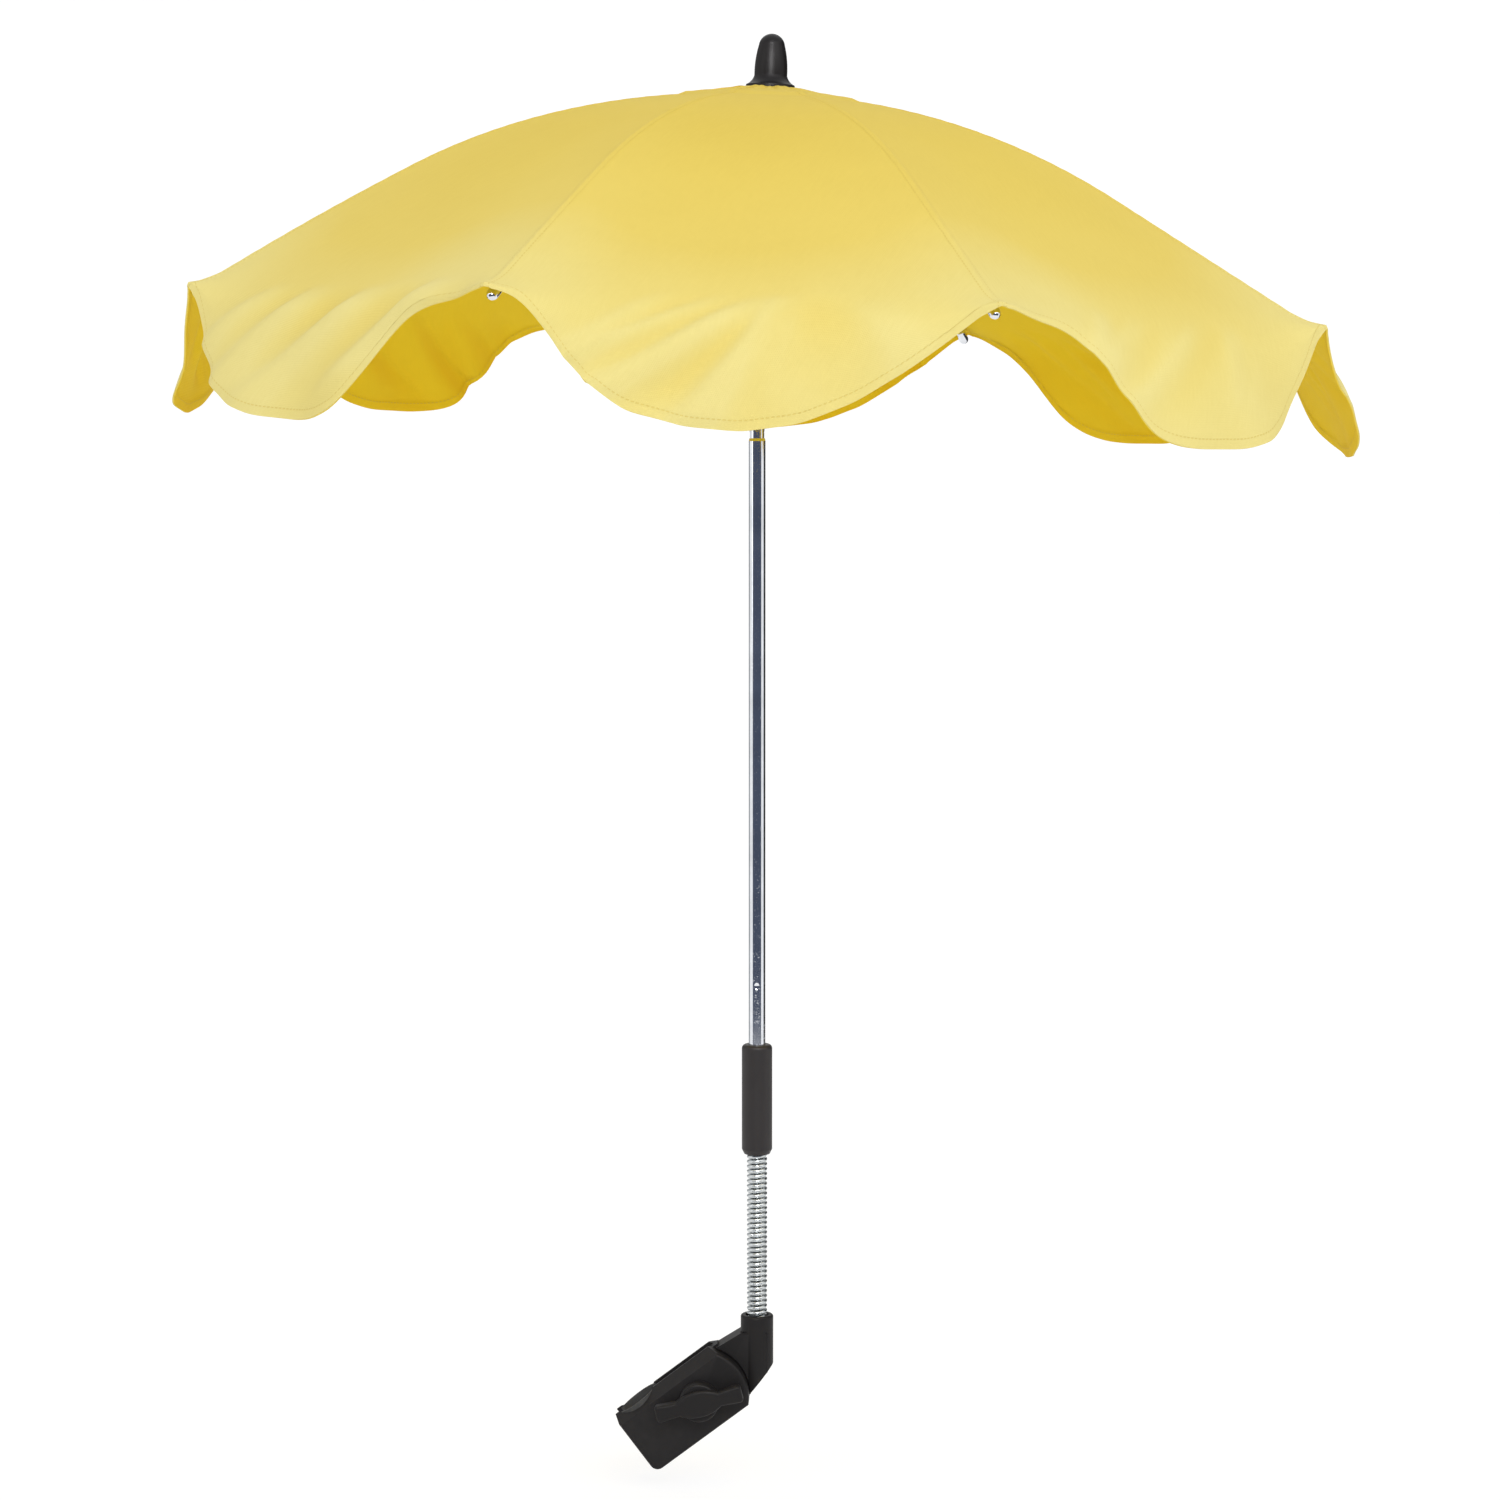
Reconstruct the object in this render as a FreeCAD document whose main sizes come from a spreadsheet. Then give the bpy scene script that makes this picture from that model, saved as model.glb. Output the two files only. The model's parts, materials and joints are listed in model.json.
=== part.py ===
"""A pram parasol: clamp, bendable neck, pole with a tilt knuckle, folding ribs and a scalloped canopy.

The origin is the centre of the pram handle in the clamp. +Z is up, +X is to the right of the
photographed side and -Y points at the viewer. Lengths are in millimetres.
"""
import FreeCAD, Part
import math
import os
import Sketcher

Vector = FreeCAD.Vector
Y_AXIS = Vector(0, 1, 0)
Z_AXIS = Vector(0, 0, 1)
HOLLOW = "hollow"

SIZES = {
    # clearances and cutting
    "overrun": 2.0, "running_gap": 0.3, "seat_gap": 0.05, "pin_gap": 0.1, "eye_gap": 0.15,
    # pram clamp, laid out along its own axes before it is turned by clamp_angle
    "clamp_angle": 37.0, "handle_r": 12.5, "pad_wall": 1.5, "pad_inset": 1.0, "jaw_gap": 10.0,
    "jaw_thick": 12.5, "jaw_width": 41.2, "jaw_reach": 15.6, "pivot_reach": 33.0, "jaw_nose_r": 29.5,
    "jaw_bevel": 5.5, "jaw_bevel_deep": 11.0, "jaw_round": 2.0, "jaw_corner_r": 5.0,
    "bolt_r": 4.0, "bolt_head_r": 8.0, "bolt_head_rise": 4.0, "bolt_head_sink": 2.5,
    "washer_r": 10.0, "washer_thick": 1.0,
    "knob_hub_r": 11.6, "knob_hub_tall": 9.0, "knob_edge_r": 1.5, "wing_length": 53.0, "wing_mid": 16.0,
    "wing_waist": 8.6, "wing_waist_at": 13.0, "wing_tip": 10.6, "wing_corner_r": 2.0, "wing_tall": 6.5,
    "wing_angle": 15.0, "wing_edge_r": 1.8,
    "nut_across_r": 7.0, "nut_tall": 6.5,
    # elbow between the clamp and the neck
    "elbow_disc_r": 19.0, "elbow_step_gap": 0.8, "arm_inset": 3.0, "arm_thick": 17.0, "plate_spread": 45.0,
    "arm_top_bearing": 72.0, "arm_low_bearing": 3.0,
    "shaft_x": 60.2, "socket_r": 9.8, "socket_top_z": 67.8, "socket_left_tall": 10.0,
    "socket_right_tall": 27.0, "socket_bore_r": 7.0, "socket_edge_r": 1.2,
    # bendable neck
    "neck_length": 98.3, "neck_hidden": 6.0, "coil_wire_d": 2.45, "coil_outer_d": 12.3, "coil_pitch": 2.98,
    "spigot_flange": 3.0, "spigot_grip": 12.0, "core_r": 2.4,
    # grip sleeve and pole
    "sleeve_r": 9.1, "sleeve_length": 66.2, "sleeve_round": 2.5, "sleeve_bevel": 2.8,
    "tube_r": 5.0, "tube_wall": 0.8, "dimple_z": 268.0, "dimple_r": 2.1, "dimple_depth": 0.45,
    "spigot_past_dimple": 8.0,
    # tilt knuckle
    "knuckle_z": 598.2, "knuckle_waist_r": 4.6, "knuckle_half": 4.9, "knuckle_nose_r": 4.4,
    "knuckle_tongue": 3.4, "knuckle_shoulder": 1.6, "knuckle_plug": 18.0, "knuckle_pin_r": 1.2,
    "pin_head_sink": 0.4, "mast_lean": 2.2,
    # canopy line along a rib, and the ribs under it
    "rib_start_r": 12.0, "canopy_crown_z": 793.0, "canopy_arc_r": 440.0, "rib_start_slope": 2.2,
    "rib_end_slope": 30.0, "tip_r": 340.0, "fabric": 0.8, "rib_d": 3.2, "cap_d": 4.6, "cap_length": 12.0,
    "cap_sink": 8.0, "cap_margin": 3.0, "rib_pivot_r": 10.0, "rib_eye_r": 2.3, "rib_eye_thick": 2.4,
    "rib_boss_r": 2.1, "joint_r": 80.0,
    # stretchers
    "channel_wall": 0.5, "channel_tall": 4.4, "channel_open": 9.0, "tongue_thick": 2.0,
    "tongue_length": 26.0, "tongue_lap": 8.0, "rivet_r": 1.0, "rivet_head_r": 1.9, "rivet_head": 0.7,
    # crown, finial, runner and catch
    "crown_wire_r": 0.8, "crown_r": 13.0, "crown_top_r": 10.0, "crown_brim": 1.5, "crown_core_r": 7.4,
    "crown_drop": 5.0, "crown_top_z": 795.9,
    "stud_r": 4.0, "stud_tall": 10.0, "tube_in_crown": 8.0,
    "finial_base_r": 14.25, "finial_body_r": 9.6, "finial_tall": 31.2, "finial_skirt": 7.0,
    "finial_rim": 1.6, "finial_shoulder_r": 7.6, "finial_dome_drop": 6.6,
    "finial_side_r": 60.0, "finial_flare_r": 8.0,
    "runner_flange_r": 13.0, "runner_flange_tall": 8.0, "runner_hub_r": 7.4, "runner_hub_tall": 30.0,
    "runner_drop": 54.6, "runner_ring": 2.2, "runner_ring_deep": 0.8, "catch_leaf": 36.0,
    "catch_thick": 0.8, "catch_wide": 3.0, "catch_nose_tall": 9.0, "catch_reach": 2.0,
    # canopy valance
    "cone_r": 34.0, "collar_r": 13.0, "valance_drop": 62.0, "valance_at_rib": 2.5, "valance_swing": 9.0,
    "fold_depth": 3.5, "valance_belly": 3.0,
}
RIBS = 8
FIRST_RIB_TURN_SHARE = 0.5
COIL_SIDES = 6
BIARCS_PER_TURN = 2
GRIP_RINGS = 4
VALANCE_FOLDS = 3
GORE_SECTIONS = 13

doc = FreeCAD.newDocument("pram_parasol")
sheet = doc.addObject("Spreadsheet::Sheet", "Dimensions")
for row, (alias, number) in enumerate(SIZES.items(), 1):
    sheet.set(f"A{row}", alias)
    sheet.set(f"B{row}", str(number))
    sheet.setAlias(f"B{row}", alias)
doc.recompute()


class Size:
    """A size: its number, and the expression that works it out from the sheet."""

    def __init__(self, text, number):
        self.text = text
        self.number = number

    def __float__(self):
        return float(self.number)

    def joined(self, sign, other, number):
        text = other.text if isinstance(other, Size) else str(other)
        return Size(f"({self.text} {sign} {text})", number)

    def __add__(self, other):
        return self.joined("+", other, self.number + float(other))

    def __sub__(self, other):
        return self.joined("-", other, self.number - float(other))

    def __mul__(self, other):
        return self.joined("*", other, self.number * float(other))

    def __truediv__(self, other):
        return self.joined("/", other, self.number / float(other))

    def __neg__(self):
        return Size(f"(0 - {self.text})", -self.number)


class Sizes:
    """The sheet's cells by name."""

    def __getattr__(self, alias):
        return Size(f"Dimensions.{alias}", float(sheet.get(alias)))


def sine(angle):
    return Size(f"sin({angle.text})", math.sin(math.radians(float(angle))))


def cosine(angle):
    return Size(f"cos({angle.text})", math.cos(math.radians(float(angle))))


def leg(long_side, short_side):
    """The other side of a right triangle."""
    number = math.sqrt(float(long_side) ** 2 - float(short_side) ** 2)
    return Size(f"sqrt({long_side.text}^2 - {short_side.text}^2)", number)


def root_of_squares(a, b):
    number = math.hypot(float(a), float(b))
    return Size(f"sqrt({a.text}^2 + {b.text}^2)", number)


S = Sizes()
subparts = []


def bind(thing, name, size):
    """Ties one property of an object to the sheet."""
    thing.setExpression(name, size.text)


def new_body(label):
    body = doc.addObject("PartDesign::Body", label)
    body.Label = label
    subparts.append(body)
    return body


def origin_plane(body, role):
    return next(f for f in body.Origin.OriginFeatures if f.Role == role)


def new_sketch(body, name, plane, lift=None):
    """A sketch on one of the body's planes, lifted along the plane's normal."""
    sketch = body.newObject("Sketcher::SketchObject", name)
    sketch.AttachmentSupport = [(origin_plane(body, plane), "")]
    sketch.MapMode = "FlatFace"
    if lift is not None:
        sketch.AttachmentOffset = FreeCAD.Placement(Vector(0, 0, float(lift)), FreeCAD.Rotation())
        bind(sketch, "AttachmentOffset.Base.z", lift)
    return sketch


def pin(sketch, geometry, point, x, y):
    """Holds a point of a sketch at two sizes, or on an axis where the size is zero."""
    for size, kind, axis in ((x, "DistanceX", -2), (y, "DistanceY", -1)):
        if isinstance(size, Size):
            index = sketch.addConstraint(Sketcher.Constraint(kind, geometry, point, float(size)))
            bind(sketch, f"Constraints[{index}]", size)
        else:
            sketch.addConstraint(Sketcher.Constraint("PointOnObject", geometry, point, axis))


def arc_between(a, b, radius):
    """The short clockwise arc from a to b."""
    chord = b - a
    half = chord.Length / 2
    rise = math.sqrt(max(radius * radius - half * half, 0))
    side = Vector(chord.y, -chord.x, 0).normalize()
    centre = (a + b) / 2 + side * rise
    start = math.atan2(b.y - centre.y, b.x - centre.x)
    end = math.atan2(a.y - centre.y, a.x - centre.x)
    return Part.ArcOfCircle(Part.Circle(centre, Z_AXIS, radius), start, end)


def outline(body, name, plane, corners, lift=None):
    """A closed outline, clockwise: each corner is (x, y), or (x, y, radius) where an arc leads to it.

    The arc runs clockwise, or the other way where the corner ends with HOLLOW.
    """
    sketch = new_sketch(body, name, plane, lift)
    points = [Vector(float(c[0]), float(c[1]), 0) for c in corners]
    ends = []
    for index, corner in enumerate(corners):
        a, b = points[index - 1], points[index]
        if len(corner) == 2:
            sketch.addGeometry(Part.LineSegment(a, b))
            ends.append((1, 2))
        elif corner[-1] is HOLLOW:
            sketch.addGeometry(arc_between(b, a, float(corner[2])))
            ends.append((1, 2))
        else:
            sketch.addGeometry(arc_between(a, b, float(corner[2])))
            ends.append((2, 1))
    for index, corner in enumerate(corners):
        following = (index + 1) % len(corners)
        sketch.addConstraint(
            Sketcher.Constraint("Coincident", index, ends[index][1], following, ends[following][0])
        )
        pin(sketch, index, ends[index][1], corner[0], corner[1])
        if len(corner) > 2:
            radius = sketch.addConstraint(Sketcher.Constraint("Radius", index, float(corner[2])))
            bind(sketch, f"Constraints[{radius}]", corner[2])
    return sketch


def circle(body, name, plane, x, y, radius, lift=None):
    sketch = new_sketch(body, name, plane, lift)
    centre = Vector(float(x), float(y), 0)
    sketch.addGeometry(Part.Circle(centre, Z_AXIS, float(radius)))
    pin(sketch, 0, 3, x, y)
    index = sketch.addConstraint(Sketcher.Constraint("Radius", 0, float(radius)))
    bind(sketch, f"Constraints[{index}]", radius)
    return sketch


def extrude(body, kind, sketch, length, symmetric=False, reverse=False):
    """A pad or a pocket of the sketch."""
    feature = body.newObject(f"PartDesign::{kind}", sketch.Name + "_" + kind.lower())
    feature.Profile = sketch
    feature.SideType = "Symmetric" if symmetric else "One side"
    feature.Reversed = reverse
    bind(feature, "Length", length)
    return feature


def turn(body, name, corners, kind="Revolution"):
    """A full turn about Z of an outline given as (radius, height) corners."""
    sketch = outline(body, name, "XZ_Plane", corners)
    feature = body.newObject(f"PartDesign::{kind}", name + "_turn")
    feature.Profile = sketch
    feature.ReferenceAxis = (sketch, ["V_Axis"])
    return feature


def soften(body, name, size, wanted):
    """Rounds the edges of the body so far whose middle point is wanted."""
    doc.recompute()
    base = body.Tip
    edges = enumerate(base.Shape.Edges, 1)
    chosen = [f"Edge{i}" for i, edge in edges if wanted(middle(edge))]
    feature = body.newObject("PartDesign::Fillet", name)
    feature.Base = (base, chosen)
    bind(feature, "Radius", size)


def middle(edge):
    return edge.valueAt((edge.FirstParameter + edge.LastParameter) / 2)


def close(a, b):
    return abs(a - float(b)) < float(S.seat_gap)


def repeat_round(body, name, features, count):
    """Copies features evenly around Z."""
    pattern = body.newObject("PartDesign::PolarPattern", name)
    pattern.Originals = features
    pattern.Axis = (features[0].Profile[0], ["N_Axis"])
    pattern.Angle = 360
    pattern.Occurrences = count
    body.Tip = pattern


def on_shaft(body, angle=0.0):
    """Stands a body on the pole's axis, turned about it."""
    place = Vector(float(S.shaft_x), 0, 0)
    body.Placement = FreeCAD.Placement(place, FreeCAD.Rotation(Z_AXIS, angle))
    bind(body, "Placement.Base.x", S.shaft_x)


lean_x = S.shaft_x - S.knuckle_z * sine(S.mast_lean)
lean_z = S.knuckle_z - S.knuckle_z * cosine(S.mast_lean)


def mast_frame(angle=0.0):
    """The upper pole's axes, which lean about the tilt knuckle, turned about the pole."""
    lean = FreeCAD.Rotation(Y_AXIS, float(S.mast_lean))
    foot = Vector(float(lean_x), 0, float(lean_z))
    return FreeCAD.Placement(foot, lean * FreeCAD.Rotation(Z_AXIS, angle))


def on_mast(body, angle=0.0):
    """Stands a body on the upper pole's axis, turned about it."""
    body.Placement = mast_frame(angle)
    bind(body, "Placement.Base.x", lean_x)
    bind(body, "Placement.Base.z", lean_z)


def on_clamp(body):
    """Turns a body from the clamp's own axes to its slant on the handle."""
    body.Placement = FreeCAD.Placement(Vector(0, 0, 0), FreeCAD.Rotation(Y_AXIS, -float(S.clamp_angle)))


def at_pivot(body, angle=0.0):
    """Sets a body on the clamp's pivot, turned up about it."""
    place = Vector(float(pivot_x), 0, float(pivot_z))
    body.Placement = FreeCAD.Placement(place, FreeCAD.Rotation(Y_AXIS, -angle))
    bind(body, "Placement.Base.x", pivot_x)
    bind(body, "Placement.Base.z", pivot_z)


def tube_of(label, outer, inner, low, high):
    """A straight round tube on the pole's axis."""
    body = new_body(label)
    turn(body, label + "_section", [(inner, low), (outer, low), (outer, high), (inner, high)])
    on_shaft(body)
    return body


# Clamp
half_gap = S.jaw_gap / 2
jaw_back = half_gap + S.jaw_thick
half_width = S.jaw_width / 2
pivot_x = S.pivot_reach * cosine(S.clamp_angle)
pivot_z = S.pivot_reach * sine(S.clamp_angle)
knob_face = jaw_back + S.washer_thick
knob_front = knob_face + S.knob_hub_tall


def make_jaw(label, front):
    """One clamp jaw: a round-nosed plate with a half groove for the handle and a hole for the bolt."""
    body = new_body(label)
    shoulder = S.pivot_reach + leg(S.jaw_nose_r, half_width)
    plate = outline(body, label + "_plate", "XZ_Plane", [
        (-S.jaw_reach, half_width),
        (shoulder, half_width),
        (S.pivot_reach + S.jaw_nose_r, 0, S.jaw_nose_r),
        (shoulder, -half_width, S.jaw_nose_r),
        (-S.jaw_reach, -half_width),
    ], half_gap if front else -half_gap)
    extrude(body, "Pad", plate, S.jaw_thick, reverse=not front)
    groove = circle(body, label + "_groove", "XY_Plane", 0, 0, S.handle_r + S.pad_wall)
    extrude(body, "Pocket", groove, S.jaw_width + S.overrun, symmetric=True)
    hole = circle(body, label + "_bolt_hole", "XZ_Plane", S.pivot_reach, 0, S.bolt_r + S.pin_gap)
    extrude(body, "Pocket", hole, jaw_back * 2 + S.overrun, symmetric=True)
    if not front:
        sink_r = S.bolt_head_r + S.running_gap
        sink = circle(body, label + "_head_sink", "XZ_Plane", S.pivot_reach, 0, sink_r, -jaw_back)
        extrude(body, "Pocket", sink, S.bolt_head_sink, reverse=True)
    face = -float(jaw_back) if front else float(jaw_back)
    side = float(half_width)
    foot = -float(S.jaw_reach)
    soften(body, label + "_corner", S.jaw_corner_r, lambda p: close(p.x, foot) and close(p.z, -side))
    ridge, above = jaw_back - S.jaw_bevel_deep, half_width + S.overrun
    roof = [(ridge, half_width), (ridge, above), (jaw_back, above), (jaw_back, half_width - S.jaw_bevel)]
    if front:
        roof = [(-y, z) for y, z in reversed(roof)]
    bevel = outline(body, label + "_bevel", "YZ_Plane", roof)
    extrude(body, "Pocket", bevel, (S.pivot_reach + S.jaw_nose_r + S.overrun) * 2, symmetric=True)
    nose = float(shoulder)
    soften(
        body, label + "_edge", S.jaw_round,
        lambda p: close(p.y, face) and (close(p.z, -side) or p.x > nose),
    )
    on_clamp(body)


def make_pad(label, front):
    """The rubber lining of one groove."""
    length = S.jaw_width - S.pad_inset * 2
    wide = S.handle_r * 2 + S.pad_wall * 2
    ring = doc.addObject("Part::Cylinder", label + "_outside")
    bind(ring, "Radius", S.handle_r + S.pad_wall - S.seat_gap)
    bind(ring, "Height", length)
    bind(ring, "Placement.Base.z", -(length / 2))
    bore = doc.addObject("Part::Cylinder", label + "_bore")
    bind(bore, "Radius", S.handle_r)
    bind(bore, "Height", S.jaw_width)
    bind(bore, "Placement.Base.z", -half_width)
    lining = doc.addObject("Part::Cut", label + "_lining")
    lining.Base = ring
    lining.Tool = bore
    side = doc.addObject("Part::Box", label + "_side")
    bind(side, "Length", wide)
    bind(side, "Width", wide)
    bind(side, "Height", S.jaw_width)
    bind(side, "Placement.Base.x", -(wide / 2))
    bind(side, "Placement.Base.y", -(wide + half_gap) if front else half_gap)
    bind(side, "Placement.Base.z", -half_width)
    pad = doc.addObject("Part::Common", label)
    pad.Base = lining
    pad.Tool = side
    on_clamp(pad)
    subparts.append(pad)


def make_bolt():
    """The clamp bolt: a domed head sunk in the back jaw and a shank that reaches into the knob."""
    body = new_body("clamp_bolt")
    seat = jaw_back - S.bolt_head_sink
    shank = circle(body, "bolt_shank", "XZ_Plane", 0, 0, S.bolt_r, -seat)
    extrude(body, "Pad", shank, seat + knob_front - S.knob_edge_r)
    head = circle(body, "bolt_head", "XZ_Plane", 0, 0, S.bolt_head_r, -seat)
    extrude(body, "Pad", head, S.bolt_head_rise, reverse=True)
    top = float(seat + S.bolt_head_rise)
    soften(body, "bolt_head_dome", S.bolt_head_rise / 2, lambda p: close(p.y, top))
    at_pivot(body)


def make_washer():
    """The washer that the knob turns on."""
    body = new_body("knob_washer")
    disc = circle(body, "washer_disc", "XZ_Plane", 0, 0, S.washer_r, jaw_back)
    extrude(body, "Pad", disc, S.washer_thick)
    hole = circle(body, "washer_hole", "XZ_Plane", 0, 0, S.bolt_r + S.pin_gap)
    extrude(body, "Pocket", hole, knob_front * 2, symmetric=True)
    at_pivot(body)


def hexagon(body, name, radius, lift):
    """A hexagon about the bolt's axis, clockwise."""
    corners = []
    for side in range(6):
        bearing = -math.radians(60 * side)
        x_share, z_share = math.cos(bearing), math.sin(bearing)
        corners.append((radius * x_share, radius * z_share if side % 3 else 0))
    return outline(body, name, "XZ_Plane", corners, lift)


def make_knob():
    """The wing knob: a round hub with a waisted lever across it, and a seat for a nut."""
    body = new_body("wing_knob")
    hub = circle(body, "knob_hub", "XZ_Plane", 0, 0, S.knob_hub_r, knob_face)
    extrude(body, "Pad", hub, S.knob_hub_tall)
    front = -float(knob_front)
    soften(body, "knob_hub_edge", S.knob_edge_r, lambda p: close(p.y, front))
    half, waist_at = S.wing_length / 2, S.wing_waist_at
    tip, waist = S.wing_tip / 2, S.wing_waist / 2
    bulge = (S.wing_mid - S.wing_waist) / 2
    bulge_r = (waist_at * waist_at + bulge * bulge) / (bulge * 2)
    lever = outline(body, "wing_lever", "XZ_Plane", [
        (-half, -tip), (-half, tip), (-waist_at, waist), (waist_at, waist, bulge_r),
        (half, tip), (half, -tip), (waist_at, -waist), (-waist_at, -waist, bulge_r),
    ], knob_front - S.wing_tall / 2)
    extrude(body, "Pad", lever, S.wing_tall)
    soften(body, "wing_corners", S.wing_corner_r, lambda p: close(abs(p.x), half) and close(abs(p.z), tip))
    top = -float(knob_front + S.wing_tall / 2)
    soften(body, "wing_edges", S.wing_edge_r, lambda p: close(p.y, top))
    seat = hexagon(body, "nut_seat", S.nut_across_r + S.seat_gap, knob_face)
    extrude(body, "Pocket", seat, S.nut_tall + S.seat_gap, reverse=True)
    hole = circle(body, "knob_hole", "XZ_Plane", 0, 0, S.bolt_r + S.pin_gap, knob_face)
    extrude(body, "Pocket", hole, S.knob_hub_tall - S.knob_edge_r / 2, reverse=True)
    at_pivot(body, float(S.wing_angle))


def make_nut():
    """The nut moulded into the knob."""
    body = new_body("knob_nut")
    block = hexagon(body, "nut_block", S.nut_across_r, knob_face)
    extrude(body, "Pad", block, S.nut_tall)
    hole = circle(body, "nut_hole", "XZ_Plane", 0, 0, S.bolt_r + S.pin_gap)
    extrude(body, "Pocket", hole, knob_front * 2, symmetric=True)
    at_pivot(body, float(S.wing_angle))


# Elbow
socket_x = S.shaft_x - pivot_x
socket_top = S.socket_top_z - pivot_z
socket_floor = socket_top - S.neck_hidden - S.spigot_flange - S.seat_gap


def make_elbow():
    """A pivoting disc between the jaws, an arm outside their round nose and the neck's upright socket."""
    body = new_body("elbow")
    step_r = S.jaw_nose_r + S.elbow_step_gap
    disc = circle(body, "elbow_disc", "XZ_Plane", 0, 0, S.elbow_disc_r)
    plate_thick = S.jaw_gap - S.running_gap * 2
    extrude(body, "Pad", disc, plate_thick, symmetric=True)
    top, low = S.arm_top_bearing, S.arm_low_bearing
    top_side, low_side = top + S.plate_spread, low - S.plate_spread
    reach = step_r + S.overrun
    plate = outline(body, "elbow_plate", "XZ_Plane", [
        (S.elbow_disc_r * cosine(top_side), S.elbow_disc_r * sine(top_side)),
        (reach * cosine(top), reach * sine(top)),
        (reach * cosine(low), reach * sine(low)),
        (S.elbow_disc_r * cosine(low_side), S.elbow_disc_r * sine(low_side)),
    ])
    extrude(body, "Pad", plate, plate_thick, symmetric=True)
    arm_side = socket_x + S.socket_r - S.arm_inset
    arm_high = socket_top - S.socket_left_tall
    slope_x, slope_z = step_r * cosine(low), step_r * sine(low)
    arm = outline(body, "elbow_arm", "XZ_Plane", [
        (step_r * cosine(top), step_r * sine(top)),
        (socket_x - S.socket_r, arm_high),
        (arm_side, arm_high),
        (arm_side, slope_z),
        (slope_x, slope_z),
    ])
    extrude(body, "Pad", arm, S.arm_thick, symmetric=True)
    socket = circle(body, "elbow_socket", "XY_Plane", socket_x, 0, S.socket_r, slope_z)
    extrude(body, "Pad", socket, socket_top - slope_z)
    right = socket_x + S.socket_r + S.overrun
    below = slope_z - S.overrun
    heel = outline(body, "elbow_heel", "XZ_Plane", [
        (slope_x, slope_z), (right, socket_top - S.socket_right_tall), (right, below), (slope_x, below),
    ])
    extrude(body, "Pocket", heel, (S.socket_r + S.overrun) * 2, symmetric=True)
    ring_wide = (jaw_back - half_gap) + S.overrun
    for side, lift in (("front", plate_thick / 2), ("back", -(plate_thick / 2))):
        cut = circle(body, f"elbow_step_{side}", "XZ_Plane", 0, 0, step_r, lift)
        extrude(body, "Pocket", cut, ring_wide, reverse=side == "front")
    rim = float(socket_top)
    soften(body, "socket_rim", S.socket_edge_r, lambda p: close(p.z, rim))
    bore = circle(body, "socket_bore", "XY_Plane", socket_x, 0, S.socket_bore_r, socket_floor)
    extrude(body, "Pocket", bore, socket_top - socket_floor + S.overrun, reverse=True)
    hole = circle(body, "elbow_bolt_hole", "XZ_Plane", 0, 0, S.bolt_r + S.pin_gap)
    extrude(body, "Pocket", hole, S.jaw_gap + S.overrun, symmetric=True)
    at_pivot(body)


# Bendable neck
neck_low = S.socket_top_z - S.neck_hidden
neck_high = S.socket_top_z + S.neck_length + S.neck_hidden
spigot_r = S.coil_outer_d / 2 - S.coil_wire_d - S.running_gap
flange_r = S.socket_bore_r - S.running_gap
tube_inner_r = S.tube_r - S.tube_wall


def make_lower_spigot():
    """The stub that the neck's lower end is pushed over."""
    body = new_body("lower_spigot")
    high = neck_low + S.spigot_grip
    turn(body, "lower_spigot_section", [
        (0, high), (spigot_r, high), (spigot_r, neck_low),
        (flange_r, neck_low), (flange_r, neck_low - S.spigot_flange), (0, neck_low - S.spigot_flange),
    ])
    on_shaft(body)


def make_upper_spigot():
    """The stub at the neck's upper end, which runs on inside the pole past the punched dimple."""
    body = new_body("upper_spigot")
    low = neck_high - S.spigot_grip
    shelf = neck_high + S.spigot_flange
    high = S.dimple_z + S.spigot_past_dimple
    stem_r = tube_inner_r - S.seat_gap
    turn(body, "upper_spigot_section", [
        (0, high), (stem_r, high), (stem_r, shelf),
        (flange_r, shelf), (flange_r, neck_high), (spigot_r, neck_high), (spigot_r, low), (0, low),
    ])
    dent(body, "spigot_dent")
    on_shaft(body, -90)


def make_core():
    """The soft iron core that keeps the neck where it is bent."""
    body = new_body("bend_core")
    low = neck_low + S.spigot_grip + S.seat_gap
    high = neck_high - S.spigot_grip - S.seat_gap
    turn(body, "bend_core_section", [(0, high), (S.core_r, high), (S.core_r, low), (0, low)])
    on_shaft(body)


def helix_points(radius, pitch, low, turns, steps):
    """Points and directions along the coil."""
    places = []
    for step in range(steps + 1):
        angle = math.tau * turns * step / steps
        point = Vector(radius * math.cos(angle), radius * math.sin(angle), low + pitch * angle / math.tau)
        way = Vector(-radius * math.sin(angle), radius * math.cos(angle), pitch / math.tau).normalize()
        places.append((point, way))
    return places


def tangent_arc(start, corner, end):
    """The arc that touches the lines from start to corner and from corner to end."""
    mid = (start + end) / 2
    half = (end - start).Length / 2
    rise = corner - mid
    sag = half * math.tan(math.atan2(rise.Length, half) / 2)
    return Part.Arc(start, mid + rise.normalize() * sag, end).toShape()


def biarc(place, following):
    """Two arcs that leave one point and reach the next along the coil's own directions."""
    (a, way_a), (b, way_b) = place, following
    across = b - a
    both = way_a + way_b
    bend = 2 * (1 - way_a.dot(way_b))
    reach = (-across.dot(both) + math.sqrt(across.dot(both) ** 2 + bend * across.dot(across))) / bend
    first, second = a + way_a * reach, b - way_b * reach
    joint = (first + second) / 2
    return [tangent_arc(a, first, joint), tangent_arc(joint, second, b)]


def least_coil_gap(radius, wire, pitch):
    """The smallest gap between one turn of wire and the next, measured on points."""
    steps = 72
    points = [place[0] for place in helix_points(radius, pitch, 0.0, 2, 2 * steps)]
    apart = min((points[0] - other).Length for other in points[steps // 2:])
    return apart - wire


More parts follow.
